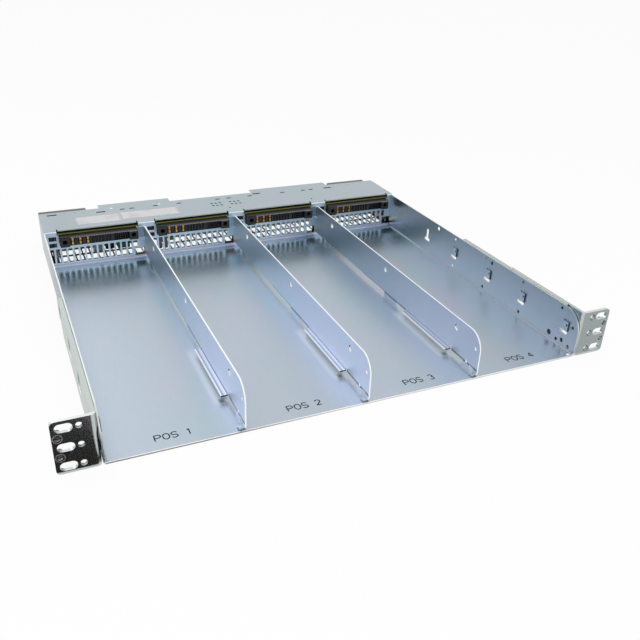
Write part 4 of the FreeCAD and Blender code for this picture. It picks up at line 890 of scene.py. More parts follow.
@dataclass(frozen=True)
class EarZinc(ZincSheet):
    """The thick ears' finish, greener on the arms, with painted shade on the hooks' edges and folds, on the
    arms' inner faces and in the slots, and painted light behind the keyholes.
    """

    sheared: Colour = (0.05, 0.06, 0.075)
    hook: Colour = (0.52, 0.62, 0.70)
    arm: Colour = (0.44, 0.53, 0.485)
    arm_edge: Colour = (0.47, 0.51, 0.49)
    inner_shade: Colour = (0.07, 0.08, 0.08)
    bend: Colour = (0.34, 0.42, 0.48)
    slit: Colour = (0.80, 0.82, 0.80)
    keyhole_light: Colour = (0.97, 0.97, 0.96)
    slot_wall_shade: Colour = (0.50, 0.54, 0.52)
    ring: Colour = (0.90, 0.90, 0.88)
    taps: tuple[Span, ...] = tuple((side * 237.3, up) for side in (-1, 1) for up in (13.86, 29.74))
    ring_radii: Span = (2.8, 3.5)
    ring_shares: Span = (0.6, 0.2)
    flat: float = 0.92
    arm_along: float = FRONT_EDGE + 5.0
    arm_inside: Span = (INNER_HALF + 1.4, INNER_HALF + 2.2)
    holes_across: Span = (216.0, 240.2)
    holes_up: Span = (1.6, 41.8)
    mouth_half: float = 6.5
    mouth_up: Span = (11.5, 19.6)
    bend_end: float = -203.0
    slit_along: float = -200.0
    slit_up: float = 38.0
    hook_edge_shade_share: float = 0.9
    arm_rough: float = 0.1
    ring_rough: float = 0.25
    slit_rough: float = 0.4

    def windows(self, recipe: Recipe) -> tuple[Amount, Amount]:
        """Finds what shows of the arms through the walls' keyholes.

        Args:
            recipe: The material.

        Returns:
            The arms' inner faces, and the patches painted bright as light behind the keyholes' mouths.
        """
        across, along, up = recipe.axes()
        inner = abs(recipe.slope("X")).over(self.flat) * abs(across).between(*self.arm_inside)
        near = sum((abs(along - key).under(self.mouth_half) for key in KEYHOLES), 0.0)
        mouths = near * up.between(*self.mouth_up) * abs(across).over(self.arm_inside[0])
        return inner, mouths.ramp(0.4, 0.6)

    def hole_field(self, recipe: Recipe) -> Amount:
        """The part of an ear's plate that has the slots and holes."""
        return recipe.axis("Z").between(*self.holes_up) * abs(recipe.axis("X")).between(*self.holes_across)

    def edges(self, recipe: Recipe, mask: Amount) -> Amount:
        """Leaves out the slots' and the holes' walls."""
        return mask * (1 - self.hole_field(recipe))

    def rings(self, recipe: Recipe) -> Amount:
        """Finds the inserts' rings round the taps on the front face, by the distance to the nearest.

        Args:
            recipe: The material.

        Returns:
            One on the rings, else nought.
        """
        across, along, up = recipe.axes()
        face = (0 - recipe.slope("Y")).over(0.8) * along.under(FRONT_EDGE + 0.2)
        reach: Amount | None = None
        for tap_across, tap_up in self.taps:
            side, rise = across - tap_across, up - tap_up
            distance = (side * side + rise * rise).root()
            reach = distance if reach is None else reach.least(distance)
        return face * reach.between(*self.ring_radii)

    def touches(self, recipe: Recipe, colour: Paint, rough: Amount) -> tuple[Paint, Amount]:
        """Adds the arms' colours, painted shade on the slots' walls and the arms' inner faces, painted light
        behind the keyholes, the inserts' rings and painted shade on the hooks' edges.

        Args:
            recipe: The material.
            colour: Its colour so far.
            rough: Its roughness so far.

        Returns:
            The new colour and roughness.
        """
        across, along, up = recipe.axes()
        turned = abs(recipe.slope("X")).under(self.flat)
        behind = along.over(self.arm_along)
        inside = abs(across).under(INNER_HALF + 0.3)
        inner, keyhole_light = self.windows(recipe)
        walls = (1 - behind) * abs(recipe.slope("Y")).under(0.3) * self.hole_field(recipe)
        ring = self.rings(recipe)
        slit = inner * up.over(self.slit_up) * along.over(self.slit_along)
        colour = recipe.mixed(behind, colour, self.arm)
        colour = recipe.mixed(behind * turned, colour, self.arm_edge)
        # Painted shade on the walls of the ear's slots and holes.
        colour = recipe.mixed(walls, colour, self.slot_wall_shade)
        colour = recipe.mixed(ring * across.ramp(-1.0, 1.0, *self.ring_shares), colour, self.ring)
        # Painted shade: the arms' inner faces near black, less dark in front of the bend.
        colour = recipe.mixed(inner, colour, recipe.mixed(along.over(self.bend_end), self.bend, self.inner_shade))
        colour = recipe.mixed(slit, colour, self.slit)
        # Painted light: bright patches on the arms' inner faces behind the keyholes' mouths.
        colour = recipe.mixed(keyhole_light, colour, self.keyhole_light)
        colour = recipe.mixed(inside * (1 - turned), colour, self.hook)
        # Painted shade: the hooks' turned faces, their sheared edges and folds, near black.
        colour = recipe.mixed(inside * turned * self.hook_edge_shade_share, colour, self.sheared)
        rough = rough + behind * self.arm_rough + ring * self.ring_rough + slit * self.slit_rough
        return colour, rough


@dataclass(frozen=True)
class Moulded:
    """Moulded plastic with a fine spark-eroded texture and slight sheen marks."""

    name: str
    base: Colour = (0.010, 0.010, 0.011)
    worn: Colour = (0.032, 0.032, 0.034)
    roughness: float = 0.46
    texture_waves: float = 2200.0
    texture_depth: float = 0.012
    flow_waves: float = 55.0
    flow_stretch: Triple = (1.0, 1.0, 0.4)

    def touches(self, recipe: Recipe, colour: Paint) -> Paint:
        """The colour with what only this moulding has."""
        return colour

    def make(self) -> bpy.types.Material:
        """Mixes the finish from its texture and its flow marks.

        Returns:
            The material.
        """
        recipe = Recipe(self.name)
        texture = recipe.noise(self.texture_waves, 3.0)
        flow = recipe.noise(self.flow_waves, 2.0, self.flow_stretch)
        colour = self.touches(recipe, recipe.mixed(flow.ramp(0.45, 0.8) * 0.5, self.base, self.worn))
        rough = flow.ramp(0.2, 0.8, self.roughness - 0.06, self.roughness + 0.1)
        normal = recipe.bump(texture, self.texture_depth, 0.6)
        return recipe.finish(Base_Color=colour, Roughness=rough, Normal=normal)


@dataclass(frozen=True)
class SocketMoulding(Moulded):
    """A connector's moulding: painted shade near black in its recesses, and painted highlights on the brow's
    ribs over them.
    """

    deep: Colour = (0.002, 0.002, 0.0025)
    brow_highlight: Colour = (0.30, 0.29, 0.30)
    left: float = 0.0
    guide_width: float = 10.5
    mouth: float = 125.0
    brow_highlight_shares: Span = (0.3, 0.6)
    brow_up: Span = (BOARD_LOW - 1.7, BOARD_LOW - 0.3)
    rib_pitch: float = 2.6
    rib_gap: float = 0.42

    def touches(self, recipe: Recipe, colour: Paint) -> Paint:
        """Paints shade on what lies deep, and painted highlights on the brow's ribs between the guide
        blocks.

        Args:
            recipe: The material.
            colour: Its colour so far.

        Returns:
            The new colour.
        """
        across, along, up = recipe.axes()
        # Painted shade: all that lies behind the mouth is near black.
        colour = recipe.mixed(along.over(self.mouth), colour, self.deep)
        # Painted highlights on the brow's ribs.
        rib = ((across - self.left) / self.rib_pitch).wrapped().over(self.rib_gap)
        brow = up.between(*self.brow_up) * along.under(self.mouth)
        brow = brow * across.over(self.left + self.guide_width)
        least, more = self.brow_highlight_shares
        return recipe.mixed(brow * (rib * more + least), colour, self.brow_highlight)


@dataclass(frozen=True)
class CircuitBoard:
    """Glass laminate with a green solder mask on its faces and bare olive edges."""

    name: str = "circuit_board"
    mask: Colour = (0.035, 0.12, 0.04)
    weave: Colour = (0.05, 0.16, 0.05)
    edge: Colour = (0.25, 0.25, 0.035)
    fibre: Colour = (0.15, 0.16, 0.03)
    shadowed: Colour = (0.008, 0.012, 0.006)
    roughness: float = 0.34
    weave_waves: float = 180.0
    fibre_waves: float = 420.0
    fibre_stretch: Triple = (0.2, 0.2, 4.0)
    lit_up: Span = (BOARD_LOW + 0.45, BOARD_LOW + 1.5)

    def threads(self, recipe: Recipe, letter: str) -> Amount:
        """The glass cloth's threads across one axis.

        Args:
            recipe: The material.
            letter: The axis.

        Returns:
            Waves from 0 to 1.
        """
        values = {"Vector": recipe.where, "Scale": self.weave_waves}
        wave = recipe.node("ShaderNodeTexWave", {"bands_direction": letter}, values)
        return Amount(recipe, wave.outputs[1])

    def make(self) -> bpy.types.Material:
        """Mixes the finish from its woven faces and its fibrous edges, lit along their middle.

        Returns:
            The material.
        """
        recipe = Recipe(self.name)
        cloth = self.threads(recipe, "X") * self.threads(recipe, "Y")
        side = abs(recipe.slope("Z")).under(0.5)
        faces = recipe.mixed(cloth.ramp(0.2, 0.8), self.mask, self.weave)
        fibres = recipe.noise(self.fibre_waves, 3.0, self.fibre_stretch)
        rim = recipe.mixed(fibres.ramp(0.3, 0.7) * 0.5, self.edge, self.fibre)
        colour = recipe.mixed(side, faces, rim)
        up = recipe.axis("Z")
        shade = up.over(BOARD_LOW - 0.1) * (1 - up.between(*self.lit_up))
        colour = recipe.mixed(shade, colour, self.shadowed)
        return recipe.finish(Base_Color=colour, Roughness=side * 0.3 + self.roughness, Coat_Weight=0.15)


@dataclass(frozen=True)
class PlainMetal:
    """Bare or plated metal with a drawn grain and faint stains."""

    name: str
    base: Colour
    stain: Colour
    roughness: float = 0.3
    grain: Triple = (1.0, 0.05, 1.0)
    stain_waves: float = 70.0
    grain_waves: float = 1900.0
    grain_depth: float = 0.004

    def touches(self, recipe: Recipe, colour: Paint) -> Paint:
        """The colour with what only this metal has."""
        return colour

    def make(self) -> bpy.types.Material:
        """Mixes the finish from its stains and its grain.

        Returns:
            The material.
        """
        recipe = Recipe(self.name)
        stains = recipe.noise(self.stain_waves, 3.0)
        drawn = recipe.noise(self.grain_waves, 2.0, self.grain)
        colour = self.touches(recipe, recipe.mixed(stains.ramp(0.42, 0.75) * 0.7, self.base, self.stain))
        rough = stains.ramp(0.3, 0.7, self.roughness - 0.05, self.roughness + 0.07) + (drawn - 0.5) * 0.1
        normal = recipe.bump(drawn, self.grain_depth)
        return recipe.finish(Base_Color=colour, Roughness=rough, Metallic=1.0, Normal=normal)


@dataclass(frozen=True)
class ContactMetal(PlainMetal):
    """A connector's contacts: bare bronze power contacts, and dark plated narrow ones past a split."""

    plated: Colour = (0.05, 0.05, 0.052)
    split: float = 0.0
    leaves: float = 32.2
    leaf_gap: float = 0.55
    gap_share: float = 0.9

    def touches(self, recipe: Recipe, colour: Paint) -> Paint:
        """Darkens the narrow contacts, and the gap between the power contacts' two leaves.

        Args:
            recipe: The material.
            colour: Its colour so far.

        Returns:
            The new colour.
        """
        gap = abs(recipe.axis("Z") - self.leaves).under(self.leaf_gap)
        colour = recipe.mixed(gap * self.gap_share, colour, self.plated)
        return recipe.mixed(recipe.axis("X").over(self.split), colour, self.plated)


@dataclass(frozen=True)
class Film:
    """A printed paper or film label, left without any print."""

    name: str
    base: Colour
    shade: Colour
    roughness: float = 0.42
    fibre_waves: float = 700.0
    fibre_depth: float = 0.006
    handled_waves: float = 60.0

    def make(self) -> bpy.types.Material:
        """Mixes the finish from its fibres and the marks of handling.

        Returns:
            The material.
        """
        recipe = Recipe(self.name)
        fibre = recipe.noise(self.fibre_waves, 3.0)
        handled = recipe.noise(self.handled_waves, 2.0)
        colour = recipe.mixed(handled.ramp(0.4, 0.75) * 0.6, self.base, self.shade)
        rough = handled.ramp(0.3, 0.7, self.roughness - 0.06, self.roughness + 0.08)
        normal = recipe.bump(fibre, self.fibre_depth)
        return recipe.finish(Base_Color=colour, Roughness=rough, Normal=normal)


@dataclass(frozen=True)
class Ink:
    """Dark printing ink that lets a little of the plate through at its thin spots."""

    name: str = "marking_ink"
    base: Colour = (0.008, 0.009, 0.012)
    thin: Colour = (0.035, 0.038, 0.045)
    waves: float = 900.0

    def make(self) -> bpy.types.Material:
        """Mixes the finish from its thin spots.

        Returns:
            The material.
        """
        recipe = Recipe(self.name)
        thin = recipe.noise(self.waves, 3.0)
        colour = recipe.mixed(thin.ramp(0.45, 0.8), self.base, self.thin)
        return recipe.finish(Base_Color=colour, Roughness=0.8, Specular_IOR_Level=0.1)


# Sub-assemblies
@dataclass
class PlainNodes:
    """CAD nodes that keep their shape and take a finish, by the kind of piece they are.

    The divider shades are each divider's painted shade at its front and at its rear.
    """

    divider_shades: tuple[Span, ...] = ((0.98, 0.80), (0.97, 0.96), (0.81, 0.67))
    socket_offset: float = 13.8
    contact_split: float = 46.0

    def sheet_finishes(self) -> dict[str, bpy.types.Material]:
        """The finishes of the pan, the cover, the rear panel and the ears.

        Returns:
            Materials by the name of the node.
        """
        ear = EarZinc(
            name="zinc_ear", base=(0.52, 0.56, 0.56), lilac=(0.53, 0.54, 0.59), cyan=(0.49, 0.57, 0.56),
            edge=(0.66, 0.67, 0.64), roughness=0.24, film=0.3, grain=(1.0, 1.0, 0.03), relief=0.0012,
            rims=(Rim("Y", (-219.5,), 1.6),),
        ).make()
        cover = CoverZinc(
            name="zinc_cover", base=(0.39, 0.46, 0.48), lilac=(0.43, 0.45, 0.54), cyan=(0.37, 0.49, 0.49),
            grain=(0.02, 1.0, 1.0), rims=(Rim("Y", (129.8,)), Rim("Z", (42.8,))),
        )
        rear = ZincSheet(name="zinc_rear", grain=(0.02, 1.0, 1.0), rims=(Rim("Y", (187.4,)),))
        return {
            "chassis_pan": PanZinc(name="zinc_pan", rims=(Rim("X", (-209.4, 209.4)),)).make(),
            "compartment_cover": cover.make(),
            "rear_panel": rear.make(),
            "ear_bracket_left": ear,
            "ear_bracket_right": ear,
        }

    def rear_finishes(self) -> dict[str, bpy.types.Material]:
        """The finishes of the board and of what stands in and behind the rear compartment.

        Returns:
            Materials by the name of the node.
        """
        black = Moulded(name="black_moulding").make()
        cream = Moulded("bushing_moulding", (0.05, 0.05, 0.05), (0.1, 0.1, 0.1), 0.5).make()
        grey = Moulded("terminal_moulding", (0.03, 0.03, 0.032), (0.075, 0.073, 0.07), 0.4).make()
        guard = Moulded("guard_moulding", (0.035, 0.03, 0.028), (0.11, 0.095, 0.085), 0.3).make()
        board = CircuitBoard().make()
        copper = PlainMetal("bar_copper", (0.86, 0.44, 0.27), (0.62, 0.30, 0.19), 0.28, (1.0, 0.04, 1.0))
        screw = PlainMetal("screw_steel", (0.60, 0.61, 0.62), (0.42, 0.42, 0.43), 0.26, (1.0, 1.0, 0.2))
        copper, screw = copper.make(), screw.make()
        post = PlainMetal("post_brass", (0.26, 0.21, 0.15), (0.16, 0.13, 0.10), 0.4).make()
        tin = PlainMetal("tin_plate", (0.68, 0.68, 0.66), (0.52, 0.52, 0.52), 0.3).make()
        result = {
            "backplane_board": board, "riser_boards": board, "bus_lugs": tin,
            "board_posts": post, "board_screws": screw, "ground_stud": screw, "ground_nut": screw,
            "busbar_negative": copper, "busbar_positive": copper, "busbar_bushing": cream,
            "signal_socket": black,
        }
        for side in ("left", "right"):
            result[f"ac_terminal_block_{side}"] = grey
            result[f"terminal_screws_{side}"] = screw
            result[f"terminal_cover_{side}"] = guard
        return result

    def bay_finishes(self) -> dict[str, bpy.types.Material]:
        """The finishes of the dividers, and of each bay's connector, contacts and pins.

        Returns:
            Materials by the name of the node.
        """
        result = {}
        for number, (across, shade_front_rear) in enumerate(zip(DIVIDERS, self.divider_shades), start=1):
            result[f"divider_{number}"] = DividerZinc(
                name=f"zinc_divider_{number}", base=(0.62, 0.68, 0.78), lilac=(0.70, 0.66, 0.86),
                cyan=(0.52, 0.70, 0.76), film=0.6, roughness=0.42, middle=across, shade_front_rear=shade_front_rear,
                edge=(0.96, 0.98, 0.95), rims=(Rim("X", (across,)),),
            ).make()
        pin = PlainMetal("pin_plate", (0.20, 0.20, 0.20), (0.10, 0.10, 0.10), 0.5).make()
        for bay in range(BAYS):
            number = bay + 1
            result[f"connector_{number}"] = SocketMoulding(
                name=f"socket_moulding_{number}", base=(0.024, 0.023, 0.024), worn=(0.05, 0.049, 0.05),
                left=bay_left(bay) + self.socket_offset,
            ).make()
            result[f"power_contacts_{number}"] = ContactMetal(
                f"contact_bronze_{number}", (0.88, 0.42, 0.12), (0.60, 0.27, 0.08), 0.24,
                split=bay_left(bay) + self.contact_split,
            ).make()
            result[f"signal_pins_{number}"] = pin
        return result

    def dress(self) -> None:
        """Gives every node its finish."""
        finishes = {**self.sheet_finishes(), **self.rear_finishes(), **self.bay_finishes()}
        for name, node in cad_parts.items():
            node.data.materials.clear()
            node.data.materials.append(finishes[name])
            LOG.info("node %s: %s", name, finishes[name].name)


@dataclass
class BayMarks:
    """The bays' numbers printed on the floor, each letter a stroke of one width."""

    height: float = 6.8
    stroke: float = 0.95
    near: float = 11.5
    lift: float = 0.04
    spots: tuple[float, ...] = (0.0, 0.92, 1.86, 3.55)
    insets: tuple[float, ...] = (37.8, 38.3, 39.5, 40.4)

    def glyph(self, letter: str) -> list[np.ndarray]:
        """Strokes of a letter in a box one high and 0.72 wide.

        Args:
            letter: One of the letters and digits used.

        Returns:
            The middle line of each stroke.
        """
        top, bar = straight((0, 1), (0.40, 1)), straight((0.40, 0.48), (0, 0.48))
        bowl = np.concatenate((top[:-1], arc((0.40, 0.74), (0.30, 0.26), 90, -90), bar[1:]))
        upper, lower = (0.34, 0.745), (0.34, 0.255)
        strokes = {
            "P": [straight((0, 0), (0, 1)), bowl],
            "O": [arc((0.36, 0.5), (0.36, 0.5), 0, 360, 40)],
            "S": [np.concatenate((
                arc(upper, (0.32, 0.255), 25, 265, 20), arc(lower, (0.33, 0.255), 85, -155, 20),
            ))],
            "1": [straight((0.10, 0.80), (0.30, 1.0)), straight((0.30, 1.0), (0.30, 0))],
            "2": [
                np.concatenate((
                    arc((0.32, 0.70), (0.30, 0.30), 165, -35, 18), straight((0.56, 0.52), (0.02, 0.0)),
                )),
                straight((0.02, 0), (0.66, 0)),
            ],
            "3": [
                arc((0.32, 0.75), (0.28, 0.25), 150, -80, 18),
                arc((0.32, 0.26), (0.32, 0.26), 80, -155, 20),
            ],
            "4": [
                straight((0.48, 0), (0.48, 1)), straight((0.48, 1), (0.0, 0.30)),
                straight((0.0, 0.30), (0.68, 0.30)),
            ],
        }
        return strokes[letter]

    def build(self, ink: bpy.types.Material) -> None:
        """Builds one mark for each bay.

        Args:
            ink: The finish.
        """
        for bay in range(BAYS):
            shells = []
            for spot, letter in zip(self.spots, f"POS{bay + 1}"):
                for stroke in self.glyph(letter):
                    points = (stroke + np.array((spot, 0.0))) * self.height
                    shells.append(ribbon(points, self.stroke, self.lift))
            corner = (bay_left(bay) + self.insets[bay], FRONT_EDGE + self.near, FLOOR_TOP)
            make_piece(f"bay_mark_{bay + 1}", merged(shells).turned(Facing.UP, corner), ink, smooth=False)


@dataclass
class Labels:
    """The two blank labels on the cover, left without print: left, right, front and rear edge."""

    thickness: float = 0.12
    crown: float = 0.05
    corner: float = 1.2
    spans: tuple[tuple[float, float, float, float], ...] = (
        (-173.6, -125.0, 140.8, 164.6), (-124.2, -58.2, 142.9, 166.6),
    )

    def build(self) -> None:
        """Builds the labels."""
        paper = Film("cover_label_film", (0.60, 0.60, 0.612), (0.47, 0.465, 0.48)).make()
        for number, (left, right, low, high) in enumerate(self.spans, start=1):
            slab = rounded_slab((right - left, high - low), self.corner, self.thickness, self.crown)
            centre = ((left + right) / 2, (low + high) / 2, COVER_TOP)
            make_piece(f"cover_label_{number}", slab.turned(Facing.UP, centre), paper)


@dataclass
class PressMarks:
    """Weld spots in front of the bulkhead's foot, and dark dishes in the walls' front holes as painted
    shade.
    """

    weld_offsets: tuple[float, ...] = (53.5, 68.9)
    weld_along: float = 341.2
    weld: tuple[Span, ...] = ((1.9, 0.0), (1.7, 0.10), (1.35, 0.12), (1.1, 0.04), (0.5, 0.02), (TIP, 0.02))
    hole_shade_spot: Span = (-213.3, 25.5)
    hole_shade_depth: float = 0.9
    blind: tuple[Span, ...] = ((1.6, 0.0), (0.9, -0.1), (TIP, -0.15))

    def build(self, zinc: bpy.types.Material, dark: bpy.types.Material) -> None:
        """Builds the spots and the dark dishes of painted shade.

        Args:
            zinc: The weld spots' finish.
            dark: The dark dishes' finish.
        """
        spot = turned_profile(self.weld, steps=20)
        welds = [
            spot.turned(Facing.UP, (bay_left(bay) + offset, FRONT_EDGE + self.weld_along, FLOOR_TOP))
            for bay in range(BAYS)
            for offset in self.weld_offsets
        ]
        make_piece("weld_spots", merged(welds), zinc)
        # Painted shade: dark dishes set into the walls' front holes, where only shade lies.
        end = turned_profile(self.blind, steps=18)
        ends = [
            end.turned(facing, (side * (INNER_HALF + self.hole_shade_depth), *self.hole_shade_spot))
            for side, facing in ((-1, Facing.RIGHT), (1, Facing.LEFT))
        ]
        make_piece("wall_hole_shades", merged(ends), dark)


@dataclass(frozen=True)
class Hanger:
    """Thin plates of one kind: their name, their spans across, their foot, colour and front face."""

    name: str
    spans: tuple[Span, ...]
    low: float
    base: Colour
    along: float = 146.9


@dataclass
class BoardHangers:
    """What the vents show below the lugs and the small upright boards: plates hung from the board."""

    thickness: float = 1.4
    corner: float = 0.5
    wear: float = 1.3
    hangers: tuple[Hanger, ...] = (
        Hanger("lug_plates", ((-159.6, -148.4),), 7.0, (0.60, 0.60, 0.62)),
        Hanger("relay_face", ((-146.3, -134.5), (-82.6, -79.9)), 9.6, (0.012, 0.012, 0.012)),
        Hanger("upright_board_edge", ((-132.6, -119.0),), 8.9, (0.03, 0.26, 0.09)),
        Hanger("long_lug_plates", ((-88.3, -82.6), (-79.9, -75.8)), 2.2, (0.42, 0.40, 0.40)),
        Hanger("upright_board_edge_2", ((-73.8, -69.0),), 11.0, (0.26, 0.28, 0.05)),
        Hanger(
            "socket_cheeks",
            ((-206.4, -200.2), *((bay_left(bay) + 2.3, bay_left(bay) + 13.2) for bay in (1, 2, 3))),
            24.0, (0.008, 0.008, 0.009), 132.6,
        ),
    )

    def build(self) -> None:
        """Builds the plates of each kind as one piece."""
        for hanger in self.hangers:
            worn = tuple(value * self.wear for value in hanger.base)
            finish = Moulded(name=hanger.name, base=hanger.base, worn=worn).make()
            plates = [
                rounded_slab(
                    (right - left, BOARD_LOW - hanger.low), self.corner, self.thickness, closed=True
                ).turned(Facing.FRONT, ((left + right) / 2, hanger.along, (BOARD_LOW + hanger.low) / 2))
                for left, right in hanger.spans
            ]
            make_piece(hanger.name, merged(plates), finish)


@dataclass
class CoverMarks:
    """Small marks on the cover: scribed lines at both ends of its rear edge and two small bumps with a pale
    finish as painted glints.
    """

    scribed: tuple[float, ...] = (-201.5, -191.4, -181.6, -171.4, -161.2, -151.2)
    scribed_along: float = 181.3
    scribed_length: float = 3.2
    scribed_width: float = 0.45
    scribed_lift: float = 0.03
    pips: tuple[Span, ...] = ((-130.0, 183.6), (-75.3, 181.4))
    pip: tuple[Span, ...] = ((1.6, 0.0), (1.5, 0.12), (1.0, 0.19), (0.5, 0.22), (TIP, 0.23))
    pip_sink: float = 0.05

    def build(self, ink: bpy.types.Material, bright: bpy.types.Material) -> None:
        """Builds the lines and the pips.

        Args:
            ink: The lines' finish.
            bright: The pips' pale finish, a painted glint.
        """
        half = self.scribed_length / 2
        mark = ribbon(straight((0, -half), (0, half), steps=5), self.scribed_width, self.scribed_lift)
        lines = [
            mark.turned(Facing.UP, (across, self.scribed_along, COVER_TOP))
            for left in self.scribed
            for across in (left, -left)
        ]
        make_piece("cover_scribed_lines", merged(lines), ink, smooth=False)
        pip = turned_profile(self.pip, steps=18)
        pips = [pip.turned(Facing.UP, (*spot, COVER_TOP - self.pip_sink)) for spot in self.pips]
        make_piece("cover_pips", merged(pips), bright)


@dataclass
class EarThreads:
    """Threads in the ears' holes, and the blind inserts behind the two outer holes of each ear."""

    inner_across: float = 222.4
    outer_across: float = 237.3
    middle_up: float = 21.8
    rise: float = 15.875
    inner_radius: float = 2.8
    outer_radius: float = 2.3
    plate: float = 3.0
    plate_margin: float = 0.1
    front_sink: float = 0.05
    barrel: tuple[Span, ...] = ((3.4, 0.0), (3.4, 1.0), (3.1, 1.3), (3.0, 4.0), (2.6, 4.5), (TIP, 4.5))
    floor: tuple[Span, ...] = ((2.29, 0.0), (1.6, -0.25), (0.9, -0.35), (TIP, -0.5))
    thread_depth: float = 0.5
    thread_clearance: float = 0.01
    pitch: float = 1.0

    def liner(self, radius: float) -> Shell:
        """The inside of a thread, seen from within, from the front face towards the rear.

        At angle a and depth h the radius is the hole's less the thread's depth times a triangle wave
        of h / pitch - a / full turn.

        Args:
            radius: Radius of the hole.

        Returns:
            The shell.
        """
        length = self.plate - self.plate_margin
        steps, rows = 28, int(length / self.pitch * 6)
        turn = np.linspace(0, 2 * np.pi, steps, endpoint=False)
        angle, depth = np.meshgrid(turn, np.linspace(0, length, rows))
        wave = np.abs(((depth / self.pitch - angle / (2 * np.pi)) % 1.0) * 2 - 1)
        reach = radius - self.thread_clearance - self.thread_depth * wave
        points = np.stack((reach * np.cos(angle), reach * np.sin(angle), -depth), -1)
        return Shell(points.reshape(-1, 3), (grid_faces(rows, steps, True),))

    def build(self, steel: bpy.types.Material, dark: bpy.types.Material) -> None:
        """Builds the threads and the inserts of both ears.

        Args:
            steel: The threads' and barrels' finish.
            dark: The finish of the inserts' floors.
        """
        face, rear = FRONT_EDGE + self.front_sink, FRONT_EDGE + self.plate
        barrel, floor = turned_profile(self.barrel, steps=24), turned_profile(self.floor, steps=24)
        liners, barrels, floors = [], [], []
        for side in (-1, 1):
            for step in (-1, 0, 1):
                centre = (side * self.inner_across, face, self.middle_up + step * self.rise)
                liners.append(self.liner(self.inner_radius).turned(Facing.FRONT, centre))
            for step in (-0.5, 0.5):
                across, up = side * self.outer_across, self.middle_up + step * self.rise
                liners.append(self.liner(self.outer_radius).turned(Facing.FRONT, (across, face, up)))
                barrels.append(barrel.turned(Facing.REAR, (across, rear, up)))
                floors.append(floor.turned(Facing.FRONT, (across, rear, up)))
        make_piece("ear_threads", merged(liners), steel)
        make_piece("ear_inserts", merged(barrels), steel)
        make_piece("ear_insert_floors", merged(floors), dark)


@dataclass
class Camera:
    """The photograph's camera, from a fit to about forty points of the object."""

    spot: Triple = (-246.11, -646.3, 335.74)
    azimuth: float = 25.04
    elevation: float = 28.10
    roll: float = 2.29
    lens: float = 41.077
    sensor: float = 36.0

    def build(self) -> None:
        """Adds the camera and makes it the scene's.

        It looks along (sin a cos e, cos a cos e, -sin e) for azimuth a and elevation e, and its two
        other axes are turned about that by the roll.
        """
        turn, lift, lean = (math.radians(value) for value in (self.azimuth, self.elevation, self.roll))
        right = Vector((math.cos(turn), -math.sin(turn), 0))
        ahead = Vector((math.sin(turn) * math.cos(lift), math.cos(turn) * math.cos(lift), -math.sin(lift)))
        up = right.cross(ahead)
        across = right * math.cos(lean) + up * math.sin(lean)
        upright = up * math.cos(lean) - right * math.sin(lean)
        data = bpy.data.cameras.new("photo_camera")
        data.sensor_width = self.sensor
        data.lens = self.lens
        camera = bpy.data.objects.new("photo_camera", data)
        matrix = Matrix((across, upright, -ahead)).transposed().to_4x4()
        matrix.translation = Vector(self.spot) * MM
        camera.matrix_world = matrix
        bpy.context.scene.collection.objects.link(camera)
        bpy.context.scene.camera = camera


